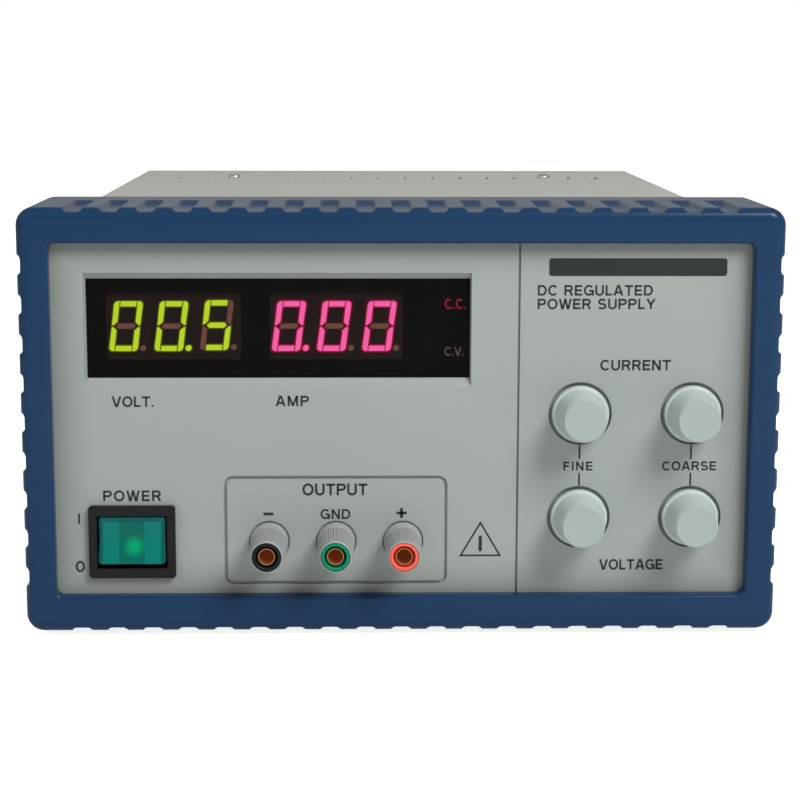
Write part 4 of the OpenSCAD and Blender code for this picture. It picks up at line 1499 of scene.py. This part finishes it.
@dataclass
class CoolingFan:
    """The axial fan's rotor with swept blades."""

    hub_front: float = 275.0
    hub_back: float = 291.5
    hub_radius: float = 17.0
    hub_wall: float = 2.0
    shaft_radius: float = 1.5
    shaft_reach: float = 2.5
    tip_radius: float = 36.4
    root_overlap: float = 0.4
    blades: int = 7
    sections: int = 7
    edge_points: int = 9
    sweep: float = math.radians(24)
    chord: Point2 = (43.0, 40.0)
    climb: float = 12.5
    camber: float = 1.9
    thickness: float = 1.1

    def build(self, shop: Workshop) -> None:
        """Makes the rotor and dresses the frame and the guard."""
        rotor = Shell()
        deep = self.hub_back - self.hub_front
        r, wall, shaft = self.hub_radius, self.hub_wall, self.shaft_radius
        rotor.lathe([(0, -self.shaft_reach), (shaft, -self.shaft_reach), (shaft, deep - wall),
                     (r - wall, deep - wall), (r - wall, 0.0), (r - 0.1, 0.0), (r, 0.15), (r, deep - 1.4),
                     (r - 0.4, deep - 0.4), (r - 1.4, deep), (0, deep)],
                    (FAN_CENTRE[0], self.hub_front, FAN_CENTRE[1]), BACK, 72)
        for blade in range(self.blades):
            self.add_blade(rotor, 2 * math.pi * blade / self.blades)
        shop.piece("fan_wheel", rotor, ["fan_black"], "fan_rotor", ["fan_rotor"])
        shop.dress("fan_frame", "fan_black", 0.3)
        shop.dress("fan_guard", "guard_chrome")

    def add_blade(self, rotor: Shell, start: float) -> None:
        """Adds one blade as a closed loft of sections from hub to tip.

        Args:
            rotor: The rotor.
            start: Angle of the blade's root.
        """
        rings = []
        last = self.edge_points - 1
        runs = [(side, (k if side > 0 else last - k) / last) for side in (1, -1) for k in range(last + 1)]
        root = self.hub_radius - self.root_overlap
        for step in range(self.sections):
            share = step / (self.sections - 1)
            radius = root + share * (self.tip_radius - root)
            chord = math.radians(self.chord[0] + share * (self.chord[1] - self.chord[0]))
            section = []
            for side, t in runs:
                angle = start + self.sweep * share + chord * (t - 0.5)
                rise = (t - 0.5) * self.climb + self.camber * math.sin(math.pi * t)
                half = self.thickness / 2 * max(math.sin(math.pi * min(t * 1.3 + 0.06, 0.94)), 0.25)
                section.append((FAN_CENTRE[0] + radius * math.cos(angle),
                                (self.hub_front + self.hub_back) / 2 + rise + side * half,
                                FAN_CENTRE[1] + radius * math.sin(angle)))
            rings.append(section)
        rotor.loops(rings)
        count = len(rings[0])
        for ring in (rings[0], rings[-1]):
            rotor.add(ring, [(k, k + 1, count - 2 - k, count - 1 - k) for k in range(last)])


@dataclass
class Enclosure:
    """The sheet-metal case, the back and everything inside that keeps its CAD shape."""

    outside: tuple[tuple[str, str, float], ...] = (
        ("front_panel", "panel_plastic", 0.14),
        ("display_window", "smoked_window", 0.0),
        ("top_cover", "cover_paint", 0.3),
        ("rear_panel", "chassis_steel", 0.2),
        ("chassis_tray", "chassis_steel", 0.0),
        ("mains_inlet", "switch_black", 0.3),
        ("fuse_drawer", "switch_black", 0.2),
        ("inlet_pins", "terminal_brass", 0.0),
        ("fuse", "fuse_glass", 0.0),
    )
    inside: tuple[tuple[str, tuple[str, ...]], ...] = (
        ("circuit_board", ("display_board", "control_board", "main_board")),
        ("screw_steel", ("board_screws", "post_nuts", "transformer_bracket")),
        ("component_dark", ("potentiometers", "power_transistors", "rectifier")),
        ("shaft_steel", ("shaft_current_fine", "shaft_current_coarse", "shaft_voltage_fine",
                         "shaft_voltage_coarse")),
        ("terminal_brass", ("post_tags",)),
        ("chassis_steel", ("cross_brace",)),
        ("sink_black", ("heat_sink",)),
        ("core_steel", ("transformer_core",)),
        ("coil_tape", ("transformer_coil",)),
        ("capacitor_sleeve", ("capacitors",)),
        ("wire_red", ("wiring",)),
    )

    def build(self, shop: Workshop) -> None:
        """Dresses every node that keeps its CAD shape and belongs to no other sub-assembly."""
        for node, slot, edge in self.outside:
            shop.dress(node, slot, edge)
        for slot, nodes in self.inside:
            for node in nodes:
                shop.dress(node, slot)


# --------------------------------------------------------------------------- studio


@dataclass
class Studio:
    """The camera, the lights and the floor."""

    camera_at: Point3 = (-11.87, -552.36, 102.02)
    yaw: float = 0.0205
    pitch: float = 0.1708
    roll: float = 0.0023
    lens: float = 89.96
    sensor: float = 36.0
    clip: Point2 = (0.02, 50.0)
    floor_size: float = 12.0
    floor_grey: float = 0.93
    aim: Point3 = (0.0, 60.0, 0.0)
    lamps: tuple[tuple[str, Point3, float, float], ...] = (
        ("key", (620.0, -800.0, 920.0), 0.55, 16.5),
        ("fill", (-900.0, -600.0, 700.0), 1.4, 3.0),
    )
    ambient: float = 0.35
    backdrop: float = 1.0
    floor_glow: float = 0.85

    def camera(self, axes: FrontAxes) -> None:
        """Makes the camera."""
        level = math.cos(self.pitch)
        forward = Vector((math.sin(self.yaw) * level, math.cos(self.yaw) * level, -math.sin(self.pitch)))
        right = Vector((math.cos(self.yaw), -math.sin(self.yaw), 0))
        up = right.cross(forward)
        c, s = math.cos(self.roll), math.sin(self.roll)
        data = bpy.data.cameras.new("camera")
        data.lens = self.lens
        data.sensor_width = self.sensor
        data.clip_start, data.clip_end = self.clip
        camera = bpy.data.objects.new("camera", data)
        facing = Matrix((right * c + up * s, up * c - right * s, -forward)).transposed().to_4x4()
        camera.matrix_world = Matrix.Translation(axes.point(*self.camera_at)) @ facing
        bpy.context.scene.collection.objects.link(camera)
        bpy.context.scene.camera = camera

    def lamp(self, axes: FrontAxes, name: str, at: Point3, size: float, power: float) -> None:
        """Makes one square area lamp that faces the object.

        Args:
            axes: The front axes.
            name: The lamp's name.
            at: Where it hangs, in millimetres.
            size: Its side, in metres.
            power: Its power, in watts.
        """
        data = bpy.data.lights.new(name, "AREA")
        data.shape = "SQUARE"
        data.size = size
        data.energy = power
        lamp = bpy.data.objects.new(name, data)
        lamp.location = axes.point(*at)
        lamp.rotation_mode = "QUATERNION"
        lamp.rotation_quaternion = (axes.point(*self.aim) - lamp.location).to_track_quat("-Z", "Y")
        bpy.context.scene.collection.objects.link(lamp)

    def floor(self) -> None:
        """Makes the plain pale floor, which looks brighter to the camera than to the object."""
        half = self.floor_size / 2
        mesh = bpy.data.meshes.new("floor")
        mesh.from_pydata([(-half, -half, 0), (half, -half, 0), (half, half, 0), (-half, half, 0)], [],
                         [(0, 1, 2, 3)])
        grey = self.floor_grey
        material, graph, shader = new_material("pale_floor", {
            "Base Color": opaque((grey, grey, grey)), "Roughness": 0.9, "Specular IOR Level": 0.1,
            "Emission Color": opaque((1.0, 1.0, 1.0)),
        })
        graph.fill(shader, {"Emission Strength": graph.for_camera(0.0, self.floor_glow)})
        mesh.materials.append(material)
        floor = bpy.data.objects.new("floor", mesh)
        bpy.context.scene.collection.objects.link(floor)

    def build(self, axes: FrontAxes) -> None:
        """Sets up the whole studio."""
        self.camera(axes)
        self.floor()
        for lamp in self.lamps:
            self.lamp(axes, *lamp)
        world = bpy.data.worlds.new("studio")
        world.use_nodes = True
        graph = Graph(world.node_tree)
        graph.fill(world.node_tree.nodes["Background"], {
            "Color": opaque((1.0, 1.0, 1.0)), "Strength": graph.for_camera(self.ambient, self.backdrop),
        })
        bpy.context.scene.world = world
        bpy.context.scene.view_settings.view_transform = "Standard"


# --------------------------------------------------------------------------- finishes of this supply

SOLID_FINISHES = (
    # The bumper's lighter convex edges are a painted highlight on its fillets.
    Finish("bumper_plastic", (0.0085, 0.036, 0.092), roughness=0.22, spread=0.08, specular=0.16,
           grain_scale=2600, grain_strength=0.22, contrast=0.1, rubbed_and_highlight_color=(0.05, 0.12, 0.24), rubbing_and_highlight=0.5),
    # The front panel darkens toward its rim near the bumper's lip: painted shade.
    Finish("panel_plastic", srgb(152, 158, 153), roughness=0.55, spread=0.06, specular=0.2, grain_scale=3000,
           grain_depth=0.015, grain_strength=0.2, contrast=0.05, rubbing_and_highlight=0.0,
           rim_shade=PaintedRimShade("front_panel", (98.2, 50.3))),
    # The display block's faint glow is painted light: the block is no lamp, only its bars are.
    Finish("led_lens", srgb(60, 42, 38), roughness=0.5, spread=0.05, specular=0.1, grain_depth=0.01, rubbing_and_highlight=0.1,
           glow=(0.16, 0.09, 0.078)),
    Finish("lamp_block", srgb(6, 5, 5), roughness=0.5, specular=0.05, rubbing_and_highlight=0.0),
    # The unlit bars' glow is painted light: they are off, and glow only to show behind the window.
    Finish("bar_unlit", srgb(60, 30, 26), roughness=0.5, specular=0.1, glow=(2.1, 0.88, 0.60),
           rubbing_and_highlight=0.0),
    *[Finish(name, srgb(*color), glow=glow, rubbing_and_highlight=0.0) for name, color, glow in (
        ("yellow_lit", (40, 50, 10), (7.4, 10.0, 0.25)),
        ("yellow_halo", (20, 24, 5), (0.7, 0.9, 0.03)),
        ("pink_lit", (60, 10, 30), (14.0, 1.8, 6.2)),
        ("pink_halo", (40, 0, 8), (4.2, 0.02, 0.34)),
        ("legend_lit", (40, 10, 14), (4.0, 0.16, 0.42)),
        ("legend_dim", (20, 12, 12), (1.5, 1.05, 0.92)),
    )],
    Finish("legend_ink", srgb(42, 48, 48), roughness=0.55, specular=0.15, contrast=0.15, grain_strength=0.1,
           rubbing_and_highlight=0.0),
    # The knobs' lighter convex edges are a painted highlight on their rims and cap bevels.
    Finish("knob_grey", srgb(178, 190, 186), roughness=0.36, spread=0.08, specular=0.3, grain_strength=0.1,
           contrast=0.03, rubbed_and_highlight_color=srgb(200, 210, 206), rubbing_and_highlight=0.4),
    Finish("knob_cap", srgb(156, 167, 163), roughness=0.42, spread=0.06, specular=0.25, grain_strength=0.1,
           contrast=0.03, rubbed_and_highlight_color=srgb(200, 210, 206), rubbing_and_highlight=0.7),
    Finish("post_grey", srgb(152, 156, 155), roughness=0.45, spread=0.08, specular=0.3, contrast=0.05,
           rubbed_and_highlight_color=srgb(190, 194, 192), rubbing_and_highlight=0.5),
    *[Finish("ring_" + name, srgb(*color), roughness=0.4, specular=0.15, rubbing_and_highlight=0.1) for name, color in (
        ("black", (22, 28, 28)), ("green", (4, 128, 98)), ("red", (238, 98, 84)))],
    Finish("socket_brass", (0.52, 0.26, 0.09), roughness=0.28, spread=0.15, metallic=1.0, grain_scale=900,
           stretch=(1, 12, 1), contrast=0.2, rubbing_and_highlight=0.5),
    # The bore's faint glow is painted light, standing in for light bounced into the socket.
    Finish("socket_bore", (0.34, 0.11, 0.04), roughness=0.45, spread=0.2, metallic=0.6, grain_scale=700,
           contrast=1.0, glow=(0.05, 0.012, 0.003)),
    Finish("terminal_brass", (0.62, 0.46, 0.2), roughness=0.3, metallic=1.0, grain_scale=900, contrast=0.15),
    Finish("screw_steel", (0.62, 0.62, 0.6), roughness=0.3, spread=0.15, metallic=1.0, grain_scale=900,
           contrast=0.12, rubbing_and_highlight=0.6),
    Finish("shaft_steel", (0.6, 0.6, 0.6), roughness=0.28, metallic=1.0, grain_scale=900, stretch=(1, 14, 1),
           contrast=0.15),
    Finish("chassis_steel", (0.5, 0.51, 0.49), roughness=0.42, spread=0.2, metallic=0.9, grain_scale=420,
           stretch=(1, 1, 26), grain_strength=0.2, contrast=0.22, rubbing_and_highlight=0.5),
    Finish("cover_paint", srgb(186, 188, 180), roughness=0.5, spread=0.08, specular=0.3, grain_scale=1500,
           grain_depth=0.06, grain_strength=0.45, contrast=0.07, rubbing_and_highlight=0.0),
    Finish("switch_black", srgb(26, 26, 26), roughness=0.36, spread=0.1, specular=0.16, contrast=0.1,
           rubbing_and_highlight=0.0),
    Finish("fan_black", srgb(34, 34, 36), roughness=0.45, spread=0.1, specular=0.4, contrast=0.1),
    Finish("guard_chrome", (0.78, 0.78, 0.78), roughness=0.14, spread=0.1, metallic=1.0, contrast=0.05,
           grain_strength=0.1),
    Finish("foot_rubber", srgb(34, 34, 34), roughness=0.8, spread=0.1, specular=0.25, sheen=0.15,
           grain_scale=1800, grain_depth=0.05, grain_strength=0.5),
    Finish("circuit_board", srgb(30, 92, 62), roughness=0.4, spread=0.1, contrast=0.25, grain_scale=700),
    Finish("component_dark", srgb(46, 46, 50), roughness=0.45, contrast=0.1),
    Finish("sink_black", (0.03, 0.03, 0.033), roughness=0.4, metallic=0.8, contrast=0.15),
    Finish("core_steel", (0.18, 0.17, 0.16), roughness=0.5, metallic=0.8, grain_scale=500, stretch=(1, 40, 1),
           contrast=0.5),
    Finish("coil_tape", srgb(196, 150, 60), roughness=0.35, contrast=0.15),
    Finish("capacitor_sleeve", srgb(36, 58, 110), roughness=0.25, coat=0.3, contrast=0.05),
    Finish("wire_red", srgb(170, 36, 34), roughness=0.4, contrast=0.05),
)

SHEER_FINISHES = (
    SheerFinish("smoked_window", (0.0025, 0.0025, 0.0022), 0.75, roughness=0.12, specular=0.06),
    SheerFinish("lamp_glass", (0.8, 0.9, 0.82), 0.35),
    SheerFinish("fuse_glass", (0.8, 0.85, 0.83), 0.4),
)


def finish_table(effects: EffectGroups, rocker_centre: Vector) -> dict[str, bpy.types.Material]:
    """Builds every finish once.

    Args:
        effects: The shared node groups.
        rocker_centre: The middle of the rocker's front, in metres.

    Returns:
        The materials by finish name.
    """
    kinds = [*SOLID_FINISHES, *SHEER_FINISHES, LampFinish("rocker_green", rocker_centre)]
    return {kind.name: kind.build(effects) for kind in kinds}


def sub_assemblies() -> list:
    """Every part of the supply, in the order it is built."""
    knobs = [(kind + "_" + way, (x, z)) for kind, z in zip(("current", "voltage"), KNOB_ROWS)
             for way, x in zip(("fine", "coarse"), KNOB_COLUMNS)]
    posts = (("black", -37.65), ("green", -18.6), ("red", 0.45))
    return [
        Enclosure(),
        Bumper(),
        LedBlock("volt", "volt_display", "00.5", "yellow_lit", "yellow_halo", -82.75, lifts=(0.0, 0.0, 0.27)),
        LedBlock("amp", "amp_display", "0.00", "pink_lit", "pink_halo", -36.8),
        ModeLamps(),
        PanelPrint(),
        *[ControlKnob(key, centre) for key, centre in knobs],
        *[BindingPost(color, x) for color, x in posts],
        PowerSwitch(),
        CaseScrews(),
        Feet(),
        CoolingFan(),
    ]


def main() -> None:
    """Builds the supply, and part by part."""
    logging.basicConfig(level=logging.INFO, format="%(name)s %(message)s")
    axes = FrontAxes.from_frame()
    Studio().build(axes)
    switch = PowerSwitch()
    rocker_centre = axes.point(switch.centre[0], switch.pivot_y, switch.centre[1])
    shop = Workshop(axes, finish_table(EffectGroups(), rocker_centre))
    for part in sub_assemblies():
        LOG.info("building %s", type(part).__name__)
        part.build(shop)


if __name__ == "__main__":
    main()
